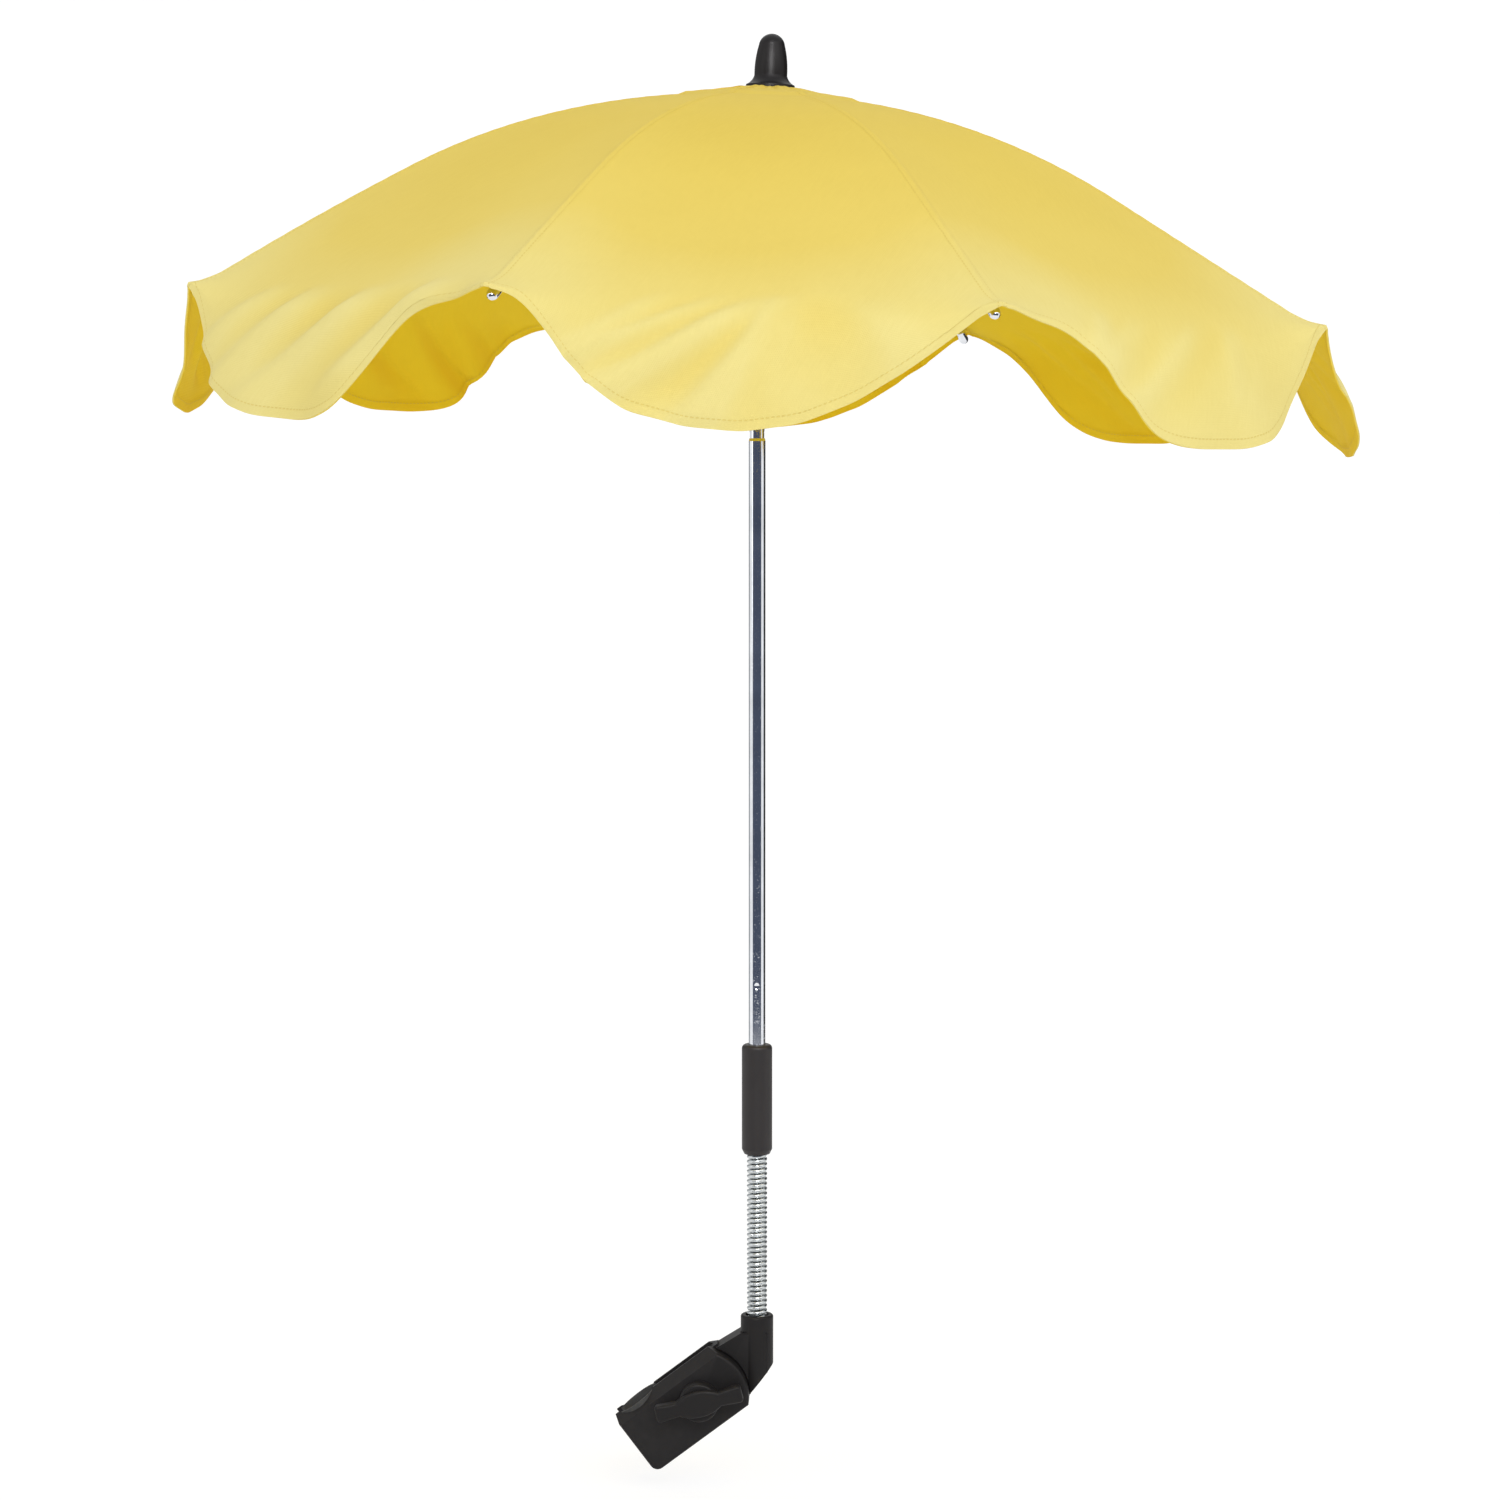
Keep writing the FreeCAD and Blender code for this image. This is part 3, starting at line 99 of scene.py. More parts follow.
def on_mast(points):
    """Points about the upper pole's own axis, set in the row frame."""
    local = np.asarray(points, float) + np.array((SHAFT_X, 0, 0)) - np.array(KNUCKLE)
    return local @ np.array(MAST_TURN).T + np.array(KNUCKLE)


# Materials
class Nodes:
    """A new material's node tree with short ways to add and join nodes."""

    def __init__(self, name, **fixed):
        self.material = bpy.data.materials.new(name)
        self.material.use_nodes = True
        self.tree = self.material.node_tree
        self.shader = self.tree.nodes["Principled BSDF"]
        for socket, value in fixed.items():
            self.shader.inputs[socket.replace("_", " ")].default_value = value

    def add(self, kind, settings=None, **inputs):
        node = self.tree.nodes.new("ShaderNode" + kind)
        for key, value in (settings or {}).items():
            setattr(node, key, value)
        for key, value in inputs.items():
            socket = node.inputs[int(key[1:])] if key[1:].isdigit() else node.inputs[key.replace("_", " ")]
            if isinstance(value, bpy.types.NodeSocket):
                self.tree.links.new(value, socket)
            else:
                socket.default_value = value
        return node

    def into(self, socket, output):
        self.tree.links.new(output, self.shader.inputs[socket])

    def surface(self, shader):
        self.tree.links.new(shader.outputs[0], self.tree.nodes["Material Output"].inputs["Surface"])

    def place(self):
        return self.add("TexCoord").outputs["Object"]

    def noise(self, scale, detail=4.0, place=None):
        vector = self.place() if place is None else place
        return self.add("TexNoise", Vector=vector, Scale=scale, Detail=detail).outputs["Fac"]

    def ramp(self, fac, *stops):
        node = self.add("ValToRGB", Fac=fac)
        while len(node.color_ramp.elements) < len(stops):
            node.color_ramp.elements.new(0.5)
        for element, (at, colour) in zip(node.color_ramp.elements, stops):
            element.position = at
            element.color = (*colour, 1)
        return node.outputs["Color"]

    def mix(self, share, first, second, blend="MIX"):
        """A colour mixed from two, each a colour or another node's output."""
        node = self.add("Mix", {"data_type": "RGBA", "blend_type": blend}, _0=share)
        for index, colour in ((6, first), (7, second)):
            if isinstance(colour, bpy.types.NodeSocket):
                self.tree.links.new(colour, node.inputs[index])
            else:
                node.inputs[index].default_value = (*colour, 1)
        return node.outputs[2]

    def math(self, operation, a, b=0.0):
        return self.add("Math", {"operation": operation}, _0=a, _1=b).outputs[0]

    def spread(self, fac, low, high):
        """A share from 0 to 1 spread from low to high."""
        return self.add("MapRange", _0=fac, _3=low, _4=high).outputs[0]

    def bump(self, height, distance, strength=1.0, under=None):
        inputs = {"Height": height, "Distance": distance, "Strength": strength}
        if under is not None:
            inputs["Normal"] = under
        return self.add("Bump", **inputs).outputs["Normal"]


def grey(value):
    return (value, value, value)


# The cloth's colours: outside, its yellow dye with painted light making it paler from the crown down to the
# hem and painted highlights on its folds; and inside, a deeper yellow painted for light shining through the
# cloth
OUTSIDE_DYE_AND_PAINTED_LIGHT = (
    (0.32, (0.83, 0.63, 0.105)), (0.66, (0.845, 0.66, 0.145)),
    (0.84, (0.865, 0.73, 0.245)), (1.0, (0.885, 0.77, 0.30)),
)
# Inside: the dye made deeper and brighter, painted for light shining through the cloth
INSIDE_DYE_AND_PAINTED_LIGHT = (0.95, 0.69, 0.026)
THREAD_GAP_TINT = (0.86, 0.80, 0.62)
STITCH_COLOUR = (0.74, 0.54, 0.10)
STITCH_GAP = -0.35


def cloth_material():
    """Plain woven yellow cotton: crossed threads, slubs, faint lightness drift and sewn stitches, with
    painted light paler towards the hem and on fold crests, painted shade in fold troughs, and a deeper
    yellow inside painted for light through the cloth.
    """
    nodes = Nodes(
        "canopy_cloth", Roughness=0.85, Sheen_Weight=0.06, Sheen_Roughness=0.5, Specular_IOR_Level=0.08,
    )
    uv = nodes.add("UVMap", {"uv_map": "weave"}).outputs[0]
    threads = []
    for direction in ("X", "Y"):
        wave = nodes.add(
            "TexWave", {"bands_direction": direction},
            Vector=uv, Scale=330.0, Distortion=0.7, Detail=1.0, Detail_Scale=2.0,
        )
        threads.append(wave.outputs["Fac"])
    weave = nodes.math("MULTIPLY", threads[0], threads[1])
    slub = nodes.noise(700.0, 3.0, nodes.add("Mapping", Vector=uv, Scale=(1, 0.12, 1)).outputs[0])
    drift = nodes.noise(8.0, 3.0)
    tone = nodes.math("ADD", nodes.math("MULTIPLY", drift, 0.65), nodes.math("MULTIPLY", slub, 0.35))
    # The sides layer picks the inside's deeper yellow, painted for light through the cloth, or the outside's
    # yellow, with painted light making it paler towards the hem and on fold crests and painted shade in fold
    # troughs
    side = nodes.add("SeparateXYZ", Vector=nodes.add("UVMap", {"uv_map": "sides"}).outputs[0])
    outside = nodes.ramp(side.outputs[1], *OUTSIDE_DYE_AND_PAINTED_LIGHT)
    dye_and_painted_light = nodes.mix(side.outputs[0], INSIDE_DYE_AND_PAINTED_LIGHT, outside)
    patchy = nodes.ramp(tone, (0.3, (0.95, 0.935, 0.87)), (0.55, (0.985, 0.98, 0.96)), (0.78, (1, 1, 1)))
    base = nodes.mix(1.0, dye_and_painted_light, patchy, "MULTIPLY")
    woven = nodes.mix(nodes.math("MULTIPLY", weave, 0.12), base, THREAD_GAP_TINT, "MULTIPLY")
    stitch = stitches(nodes, uv)
    nodes.into("Base Color", nodes.mix(nodes.math("MULTIPLY", stitch, 0.5), woven, STITCH_COLOUR))
    fine = nodes.bump(weave, 0.00012, 0.5)
    sewn = nodes.bump(stitch, 0.0003, 0.8, fine)
    crease = nodes.noise(42.0, 5.0)
    nodes.into("Normal", nodes.bump(crease, 0.0016, 0.16, sewn))
    return nodes.material


def stitches(nodes, uv):
    """Rows of stitches beside the hem and the rib seams."""
    spot = nodes.add("SeparateXYZ", Vector=nodes.add("UVMap", {"uv_map": "edges"}).outputs[0])
    along = nodes.add("SeparateXYZ", Vector=uv)
    rows = []
    for edge, run, inset in ((0, 0, HEM_STITCH), (1, 1, SEAM_STITCH)):
        offset = nodes.math("ABSOLUTE", nodes.math("SUBTRACT", spot.outputs[edge], inset))
        line = nodes.math("LESS_THAN", offset, STITCH_HALF)
        dash = nodes.math("SINE", nodes.math("MULTIPLY", along.outputs[run], math.tau / STITCH_STEP))
        rows.append(nodes.math("MULTIPLY", line, nodes.math("GREATER_THAN", dash, STITCH_GAP)))
    return nodes.math("MAXIMUM", rows[0], rows[1])


def metal_material(name, colour, roughness, speck_scale, brushed=0.0):
    """A plated metal with faint waviness, specks and handling marks."""
    nodes = Nodes(name, Metallic=1.0)
    drift = nodes.noise(60.0, 3.0)
    bright = tuple(min(1.0, part * 1.08) for part in colour)
    dull = tuple(part * 0.88 for part in colour)
    nodes.into("Base Color", nodes.ramp(drift, (0.3, dull), (0.7, bright)))
    specks = nodes.noise(speck_scale, 2.0)
    pitted = nodes.ramp(specks, (0.62, grey(0)), (0.74, grey(1)))
    smear = nodes.spread(nodes.noise(24.0, 5.0), roughness * 0.7, roughness * 1.35)
    nodes.into("Roughness", nodes.math("ADD", smear, nodes.math("MULTIPLY", pitted, 0.16)))
    height = nodes.math("MULTIPLY", pitted, -0.4)
    if brushed:
        turned = nodes.add("Mapping", Vector=nodes.place(), Scale=(1, 1, 40)).outputs[0]
        height = nodes.math("ADD", height, nodes.math("MULTIPLY", nodes.noise(90.0, 3.0, turned), brushed))
    nodes.into("Normal", nodes.bump(height, 0.00006, 0.6))
    return nodes.material


def plastic_material(name, colour, roughness, grain, lift, shine):
    """A moulded plastic: fine grain, slight drift of shade, and edges worn paler."""
    nodes = Nodes(name, Specular_IOR_Level=shine)
    drift = nodes.noise(30.0)
    pale = tuple(part * lift for part in colour)
    base = nodes.ramp(drift, (0.3, colour), (0.75, pale))
    edge = nodes.ramp(nodes.add("NewGeometry").outputs["Pointiness"], (0.53, grey(0)), (0.60, grey(1)))
    scuff = nodes.math("MULTIPLY", edge, nodes.spread(nodes.noise(160.0), 0.0, 0.5))
    nodes.into("Base Color", nodes.mix(scuff, base, tuple(part * 2.2 + 0.01 for part in colour)))
    nodes.into("Roughness", nodes.spread(nodes.noise(55.0), roughness * 0.85, roughness * 1.15))
    nodes.into("Normal", nodes.bump(nodes.noise(grain, 2.0), 0.00008, 0.45))
    return nodes.material


MATERIALS = {
    "canopy_cloth": cloth_material(),
    "pole_chrome": metal_material("pole_chrome", (0.76, 0.78, 0.82), 0.09, 900.0),
    "zinc_steel": metal_material("zinc_steel", (0.62, 0.65, 0.66), 0.26, 1400.0, 0.4),
    "nut_brass": metal_material("nut_brass", (0.72, 0.52, 0.22), 0.25, 1200.0, 0.3),
    "clamp_plastic": plastic_material("clamp_plastic", (0.0105, 0.0095, 0.0100), 0.52, 1500.0, 1.25, 0.2),
    "grip_plastic": plastic_material("grip_plastic", (0.025, 0.022, 0.023), 0.46, 1300.0, 1.2, 0.3),
    "finial_plastic": plastic_material("finial_plastic", (0.008, 0.007, 0.008), 0.38, 1000.0, 1.3, 0.18),
    "pad_rubber": plastic_material("pad_rubber", (0.036, 0.036, 0.036), 0.8, 700.0, 1.4, 0.45),
}
for node, thing in frame["nodes"].items():
    thing.data.materials.clear()
    thing.data.materials.append(MATERIALS[SLOT_OF[node]])


def new_piece(name, points, faces, slot):
    mesh = bpy.data.meshes.new(name)
    mesh.from_pydata([tuple(p) for p in points], [], faces)
    mesh.polygons.foreach_set("use_smooth", [True] * len(mesh.polygons))
    mesh.materials.append(MATERIALS[slot])
    piece = bpy.data.objects.new(name, mesh)
    bpy.context.scene.collection.objects.link(piece)
    return piece


# Canopy
def soft_most(a, b, softness):
    """The larger of two heights, with a rounded change from one to the other."""
    gap = a - b
    return (a + b + np.sqrt(gap * gap + softness * softness * 4)) / 2


def rib_height(r):
    """The cloth's height above a rib."""
    inner = np.minimum(r, BEND_R)
    arc = LINE_Z + np.sqrt(CANOPY_ARC_R ** 2 - (inner - LINE_X) ** 2)
    straight = BEND_Z - (r - BEND_R) * math.tan(RIB_END_SLOPE)
    height = np.where(r > BEND_R, straight, arc)
    cone_z = LINE_Z + math.sqrt(CANOPY_ARC_R ** 2 - (CONE_R - LINE_X) ** 2)
    cone = COLLAR_Z + (r - COLLAR_R) * (cone_z - COLLAR_Z) / (CONE_R - COLLAR_R)
    return soft_most(height, np.where(r < CONE_R * 1.6, cone, height - 0.1), CONE_SOFTNESS)


TOP_RADII = np.concatenate((
    np.linspace(COLLAR_R, 0.040, 14), np.linspace(0.043, 0.268, 50), np.linspace(0.271, TIP_R, 27),
))
VALANCE_SHARES = np.concatenate((np.linspace(0.045, 0.87, 20), np.linspace(0.895, 1.0, 7)))
ACROSS_HALF = np.concatenate((np.linspace(0, 0.06, 7), np.linspace(0.08, 1.0, 54)))
ACROSS = np.concatenate((ACROSS_HALF - 1, (1 - ACROSS_HALF)[-2::-1]))
MIDDLE = len(ACROSS_HALF) - 1
EDGE_ROW = len(TOP_RADII) - 1
HALF_CHORD = TIP_R * math.sin(HALF_TURN)
EDGE_ROUNDING = 90
# Drape folds: start across, lean per depth, length, half width and height
FOLDS = {
    5: (
        (-0.066, 0.8, 0.042, 0.0080, 0.0030), (-0.030, 0.75, 0.060, 0.0100, 0.0050),
        (0.018, 0.9, 0.062, 0.0110, 0.0056), (0.074, 1.0, 0.046, 0.0100, 0.0044),
    ),
    6: (
        (-0.006, 1.5, 0.052, 0.0080, 0.0056), (0.012, 0.62, 0.062, 0.0070, 0.0052),
        (-0.030, 1.6, 0.040, 0.0062, 0.0034), (0.028, 0.20, 0.046, 0.0080, 0.0026),
        (-0.056, 1.1, 0.030, 0.0060, 0.0020), (0.066, -0.5, 0.050, 0.0120, 0.0020),
    ),
}
OTHER_FOLDS, FOLD_SEED = 6, 20
FOLD_STRENGTH = (0.55, 0.9, 1.0, 0.9, 1.0, 1.0, 1.0, 0.45)
# A fold's form: how it wanders and widens, its steep and easy sides, its fading ends and its trough
FOLD_WANDER, FOLD_WANDER_STEP, FOLD_WANDER_SHIFT, FOLD_WIDENING = 0.0015, 0.016, 90, 8
FOLD_STEEP, FOLD_EASY = 0.6, 1.5
FOLD_RUN_IN, FOLD_FADE, FOLD_RIB_EASE = 0.016, 0.026, 5
TROUGH_DEEP, TROUGH_AT = 0.55, 1.9
# Painted light and shade: how much paler the cloth gets from the crown to the hem, how much painted
# highlight on the folds, and how much painted shade darkens their troughs
HEM_PAINTED_LIGHT, FOLD_PAINTED_HIGHLIGHT, TROUGH_PAINTED_SHADE = 0.94, 65, 0.6
# Each gore's hem: how far it hangs, how far it flares, and the curves of its left and right halves
HEM_DROPS = (0.065, 0.063, 0.062, 0.0605, 0.066, 0.0655, 0.0625, 0.0625)
HEM_FLARES = (0.033, 0.020, 0.014, 0.018, 0.024, 0.022, 0.012, 0.026)
HEM_CURVES = {
    "early": (
        (0, 0.08, 0.16, 0.27, 0.44, 0.60, 0.76, 1),
        (0, 0.06, 0.20, 0.42, 0.75, 0.91, 0.985, 1),
    ),
    "even": (
        (0, 0.06, 0.127, 0.288, 0.42, 0.558, 0.77, 1),
        (0, 0.03, 0.11, 0.33, 0.53, 0.72, 0.92, 1),
    ),
    "arched": (
        (0, 0.094, 0.145, 0.195, 0.246, 0.32, 0.423, 0.573, 0.8, 1),
        (0, 0.01, 0.04, 0.12, 0.23, 0.41, 0.65, 0.86, 0.97, 1),
    ),
    "middling": (
        (0, 0.15, 0.28, 0.42, 0.52, 0.61, 0.72, 0.84, 1),
        (0, 0.02, 0.10, 0.31, 0.55, 0.78, 0.92, 0.98, 1),
    ),
    "late": (
        (0, 0.20, 0.32, 0.43, 0.52, 0.63, 0.76, 0.88, 1),
        (0, 0.01, 0.04, 0.14, 0.32, 0.60, 0.90, 0.98, 1),
    ),
}
HEM_HALVES = (
    ("early", "early"), ("early", "middling"), ("even", "even"), ("late", "early"),
    ("even", "even"), ("early", "late"), ("arched", "even"), ("late", "early"),
)
HEM_SMOOTHING = 6
# The top's relief: sag, puckers at the seams, gathers under the finial, seam ridges and pull at the tips
SAG, SAG_FROM, SAG_OVER = 0.0016, 0.05, 0.2
PUCKER, PUCKER_STEP, PUCKER_WIDE = 0.0001, 0.0115, 0.007
GATHER, GATHERS, GATHER_RISE, GATHER_FADE = 0.0011, 3, 0.006, 0.014
SEAM_RISE, SEAM_EDGE = 0.0004, 0.0008
PULL, PULLS, PULL_START, PULL_REACH = 0.0016, 6, 0.004, 0.055
TIP_LIFT, TIP_LIFT_LONG, TIP_LIFT_WIDE = 0.0055, 0.022, 0.020
LEFT_BILLOW, BILLOW_OUTWARD = 0.005, 1.8
# The valance's broad and narrow ripples
BROAD_RIPPLE, BROAD_RIPPLES, BROAD_SHIFT, BROAD_TURN, BROAD_SLANT = 0.0026, 2.6, 0.9, 2.3, 1.9
NARROW_RIPPLE, NARROW_RIPPLES, NARROW_SHIFT, NARROW_SLANT = 0.0012, 2.1, 1.7, 3.1
RIPPLE_START = 0.7
# Rows above and below the edge over which gore and valance meet in a round turn
ROUND_ABOVE, ROUND_BELOW, ROUND_RIB_EASE = 22, 20, 1.6


def gentle(value):
    """A share from 0 to 1 with soft ends."""
    held = np.clip(value, 0, 1)
    return held * held * (3 - 2 * held)


def gore_grid(gore):
    """The outer face of one gore with its valance: rows from collar to hem, columns from rib to rib."""
    centre = 2 * HALF_TURN * gore
    left, right = centre - HALF_TURN, centre + HALF_TURN
    u, r = np.meshgrid(ACROSS, TOP_RADII)
    x = r * ((1 - u) * math.cos(left) + (1 + u) * math.cos(right)) / 2
    y = r * ((1 - u) * math.sin(left) + (1 + u) * math.sin(right)) / 2
    lateral = r * math.sin(HALF_TURN) * (1 - np.abs(u))
    open_share = 1 - u * u
    sag = SAG * open_share * np.clip((r - SAG_FROM) / SAG_OVER, 0, 1)
    pucker = PUCKER * np.sin(r * math.tau / PUCKER_STEP + gore) * np.exp(-lateral / PUCKER_WIDE)
    past_collar = np.maximum(r - FINIAL_R, 0)
    gather = GATHER * np.cos(u * math.pi * GATHERS + gore) * gentle(past_collar / GATHER_RISE)
    gather *= np.exp(-past_collar / GATHER_FADE)
    seam = SEAM_RISE * np.clip((SEAM_WIDE - lateral) / SEAM_EDGE, 0, 1)
    pull = PULL * np.sin(PULLS * np.arctan2(lateral, TIP_R - r + PULL_START) + gore) * open_share
    pull *= np.exp(-np.hypot(lateral, TIP_R - r) / PULL_REACH)
    lift = TIP_LIFT * np.maximum(1 - (TIP_R - r) / TIP_LIFT_LONG, 0) ** 2
    lift *= np.exp(-(lateral / TIP_LIFT_WIDE) ** 2)
    billow = LEFT_BILLOW * gentle(-x / np.hypot(x, y)) * np.sin(math.pi * (r / TIP_R) ** BILLOW_OUTWARD)
    z = rib_height(r) - sag + pucker + gather + seam + pull + lift + billow
    top = np.stack((x, y, z), axis=-1)

    fullness = scallop(gore)
    drop = VALANCE_AT_RIB + (HEM_DROPS[gore] - VALANCE_AT_RIB) * fullness
    down = VALANCE_SHARES[:, None]
    broad = math.pi * BROAD_RIPPLES * ACROSS + BROAD_SHIFT * math.sin(BROAD_TURN * gore)
    narrow = math.tau * NARROW_RIPPLES * ACROSS + NARROW_SLANT * down + NARROW_SHIFT * gore
    ripple = BROAD_RIPPLE * fullness * np.cos(broad - BROAD_SLANT * down)
    ripple += NARROW_RIPPLE * fullness * np.sin(narrow)
    out = HEM_FLARES[gore] * drop / VALANCE_DROP * down + VALANCE_BELLY * fullness * 4 * down * (1 - down)
    out = out + ripple * down ** RIPPLE_START
    edge = top[-1]
    radial = edge[:, :2] / np.linalg.norm(edge[:, :2], axis=1, keepdims=True)
    fall = edge[None, :, :].repeat(len(VALANCE_SHARES), axis=0).copy()
    fall[:, :, :2] += radial[None] * out[:, :, None]
    fall[:, :, 2] -= drop[None] * down
    grid = soften_edge(np.concatenate((top, fall)), open_share[0])
    relief = creases(gore, grid)
    return grid + grid_normals(grid) * relief[:, :, None], relief


def soften_edge(grid, open_share):
    """Rounds the turn from gore to valance, most of all between the ribs."""
    first, last = EDGE_ROW - ROUND_ABOVE, EDGE_ROW + ROUND_BELOW
    mix = 0.5 * gentle(open_share * ROUND_RIB_EASE)[None, :, None]
    for _ in range(EDGE_ROUNDING):
        even = (grid[first - 1:last - 1] + grid[first + 1:last + 1]) / 2
        grid[first:last] += (even - grid[first:last]) * mix
    return grid


def scallop(gore):
    """How far down the hem hangs, as a share, from rib to rib."""
    from_rib = 1 - np.abs(ACROSS)
    left, right = (np.interp(from_rib, *HEM_CURVES[curve]) for curve in HEM_HALVES[gore])
    fullness = np.where(ACROSS < 0, left, right)
    for _ in range(HEM_SMOOTHING):
        fullness[1:-1] += (fullness[:-2] + fullness[2:] - 2 * fullness[1:-1]) / 3
    return fullness


def folds_of(gore):
    """The drape folds of one gore's valance."""
    if gore in FOLDS:
        return FOLDS[gore]
    chance = np.random.default_rng(FOLD_SEED + gore)
    folds = []
    for start in np.linspace(-0.062, 0.074, OTHER_FOLDS) + chance.normal(0, 0.006, OTHER_FOLDS):
        lean, length = chance.uniform(0.5, 1.5), chance.uniform(0.034, 0.062)
        folds.append((start, lean, length, chance.uniform(0.0048, 0.0080), chance.uniform(0.0018, 0.0042)))
    return folds


def creases(gore, grid):
    """How far the slanting drape folds stand out of the cloth, from the edge down to the hem."""
    lengths = path_lengths(grid)
    below = lengths - lengths[EDGE_ROW]
    across = ACROSS[None, :] * HALF_CHORD
    relief = np.zeros_like(below)
    for start, lean, length, wide, tall in folds_of(gore):
        wander = FOLD_WANDER * np.sin(below / FOLD_WANDER_STEP + start * FOLD_WANDER_SHIFT)
        centre = start - lean * below + wander
        off = (across - centre) / (wide * (1 + FOLD_WIDENING * np.maximum(below, 0)))
        off = np.where(off < 0, off / FOLD_STEEP, off / FOLD_EASY)
        ends = gentle((below + FOLD_RUN_IN) / FOLD_FADE) * gentle((length + FOLD_RUN_IN - below) / FOLD_FADE)
        relief += tall * ends * (np.exp(-off * off / 2) - TROUGH_DEEP * np.exp(-(off - TROUGH_AT) ** 2 / 2))
    return relief * FOLD_STRENGTH[gore] * gentle((1 - np.abs(ACROSS)) * FOLD_RIB_EASE)


def grid_normals(grid):
    along = np.gradient(grid, axis=0)
    across = np.gradient(grid, axis=1)
    normals = np.cross(along, across)
    return normals / np.linalg.norm(normals, axis=2, keepdims=True)


def path_lengths(grid):
    """How far along the cloth each row is, down each column."""
    steps = np.linalg.norm(np.diff(grid, axis=0), axis=2)
    return np.concatenate((np.zeros((1, grid.shape[1])), np.cumsum(steps, axis=0)))


def cloth_faces(rows, wide):
    """Faces of a closed cloth: its outer and inner sides, then its rim at the top, hem and two edges."""
    count = rows * wide
    faces = []
    for row in range(rows - 1):
        for column in range(wide - 1):
            a = row * wide + column
            faces.append((a, a + wide, a + wide + 1, a + 1))
            faces.append((count + a, count + a + 1, count + a + wide + 1, count + a + wide))
    top_row = list(range(wide))
    hem_row = [(rows - 1) * wide + c for c in range(wide)]
    first_column = [row * wide for row in range(rows)]
    last_column = [row * wide + wide - 1 for row in range(rows)]
    for line, flip in ((top_row, False), (hem_row, True), (first_column, True), (last_column, False)):
        for a, b in zip(line, line[1:]):
            face = (a, b, count + b, count + a)
            faces.append(face[::-1] if flip else face)
    return faces


def half_gore(name, grid, relief, columns):
    """One rib's side of a gore as a thin closed cloth, thicker along its hem."""
    rows, wide = grid.shape[0], len(columns)
    outer = grid[:, columns].reshape(-1, 3)
    facing = grid_normals(grid)[:, columns].reshape(-1, 3)
    length = path_lengths(grid)[:, columns]
    to_hem = length[-1] - length
    thick = np.where(to_hem < HEM_WIDE, HEM_CLOTH, CLOTH).reshape(-1, 1)
    inner = outer - facing * thick
    points = on_mast(np.concatenate((outer, inner)))
    piece = new_piece(name, points, cloth_faces(rows, wide), "canopy_cloth")
    mesh = piece.data
    index = np.empty(len(mesh.loops), dtype=np.int32)
    mesh.loops.foreach_get("vertex_index", index)

    steps = np.linalg.norm(np.diff(grid, axis=1), axis=2)
    over = np.concatenate((np.zeros((rows, 1)), np.cumsum(steps, axis=1)), axis=1)
    to_rib = np.minimum(over, over[:, -1:] - over)[:, columns]
    over = over[:, columns]
    folded = relief[:, columns]
    # Painted light and shade for the sides layer: paler towards the hem, painted highlights on fold crests
    # and painted shade in their troughs
    tone = HEM_PAINTED_LIGHT * length / length[-1] + FOLD_PAINTED_HIGHLIGHT * np.where(folded > 0, folded, folded * TROUGH_PAINTED_SHADE)
    layers = (
        ("weave", (over, length), (over, length)),
        ("edges", (to_hem, to_rib), (to_hem, to_rib)),
        ("sides", (np.ones_like(length), tone), (np.zeros_like(length), tone)),
    )
    for layer_name, *sides in layers:
        spots = np.concatenate([np.stack(side, axis=-1).reshape(-1, 2) for side in sides])
        layer = mesh.uv_layers.new(name=layer_name)
        layer.data.foreach_set("uv", spots[index].astype(np.float32).ravel())

    turned = np.concatenate((facing, -facing)) @ np.array(MAST_TURN).T
    shaded = turned[index]
    rim = len(mesh.polygons) - 2 * (rows + wide - 2)
    for polygon in mesh.polygons[rim:]:
        shaded[polygon.loop_start:polygon.loop_start + polygon.loop_total] = polygon.normal
    mesh.normals_split_custom_set([tuple(n) for n in shaded])
    return piece


def make_canopy():
    """Eight taut gores, each in two halves that fold with the ribs on either side."""
    for gore in range(RIBS):
        grid, relief = gore_grid(gore)
        sides = (
            ("left", gore, range(MIDDLE + 1), 1),
            ("right", gore + 1, range(MIDDLE, len(ACROSS)), -1),
        )
        for label, rib, columns, side in sides:
            number = (rib - 1) % RIBS + 1
            piece = half_gore(f"gore_{gore + 1}_{label}", grid, relief, list(columns))
            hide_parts("canopy")
            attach(piece, f"rib_{number}")
            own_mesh(piece)


make_canopy()

# Rib caps
CAP_R, CAP_LONG, CAP_BACK, CAP_UNDER, CAP_SLOPE = 0.0032, 0.0135, 0.0175, 0.0042, math.radians(34)
CAP_SIDES, CAP_NOSE_STEPS, CAP_NOSE = 24, 8, 1.3
# The cap's rolled rim: distances from its open end, and radii as shares of its own
CAP_RIM = ((0.0, 0.62), (0.0, 0.92), (0.0005, 1.05), (0.0013, 1.05), (0.0018, 0.96))


def ring_faces(rings, sides):
    """Faces of a closed round form built of rings of points, with a face over each end."""
    faces = []
    for ring in range(rings - 1):
        low, high = ring * sides, (ring + 1) * sides
        for a in range(sides):
            b = (a + 1) % sides
            faces.append((low + a, low + b, high + b, high + a))
    faces.append(tuple(range(sides))[::-1])
    faces.append(tuple((rings - 1) * sides + a for a in range(sides)))
    return faces


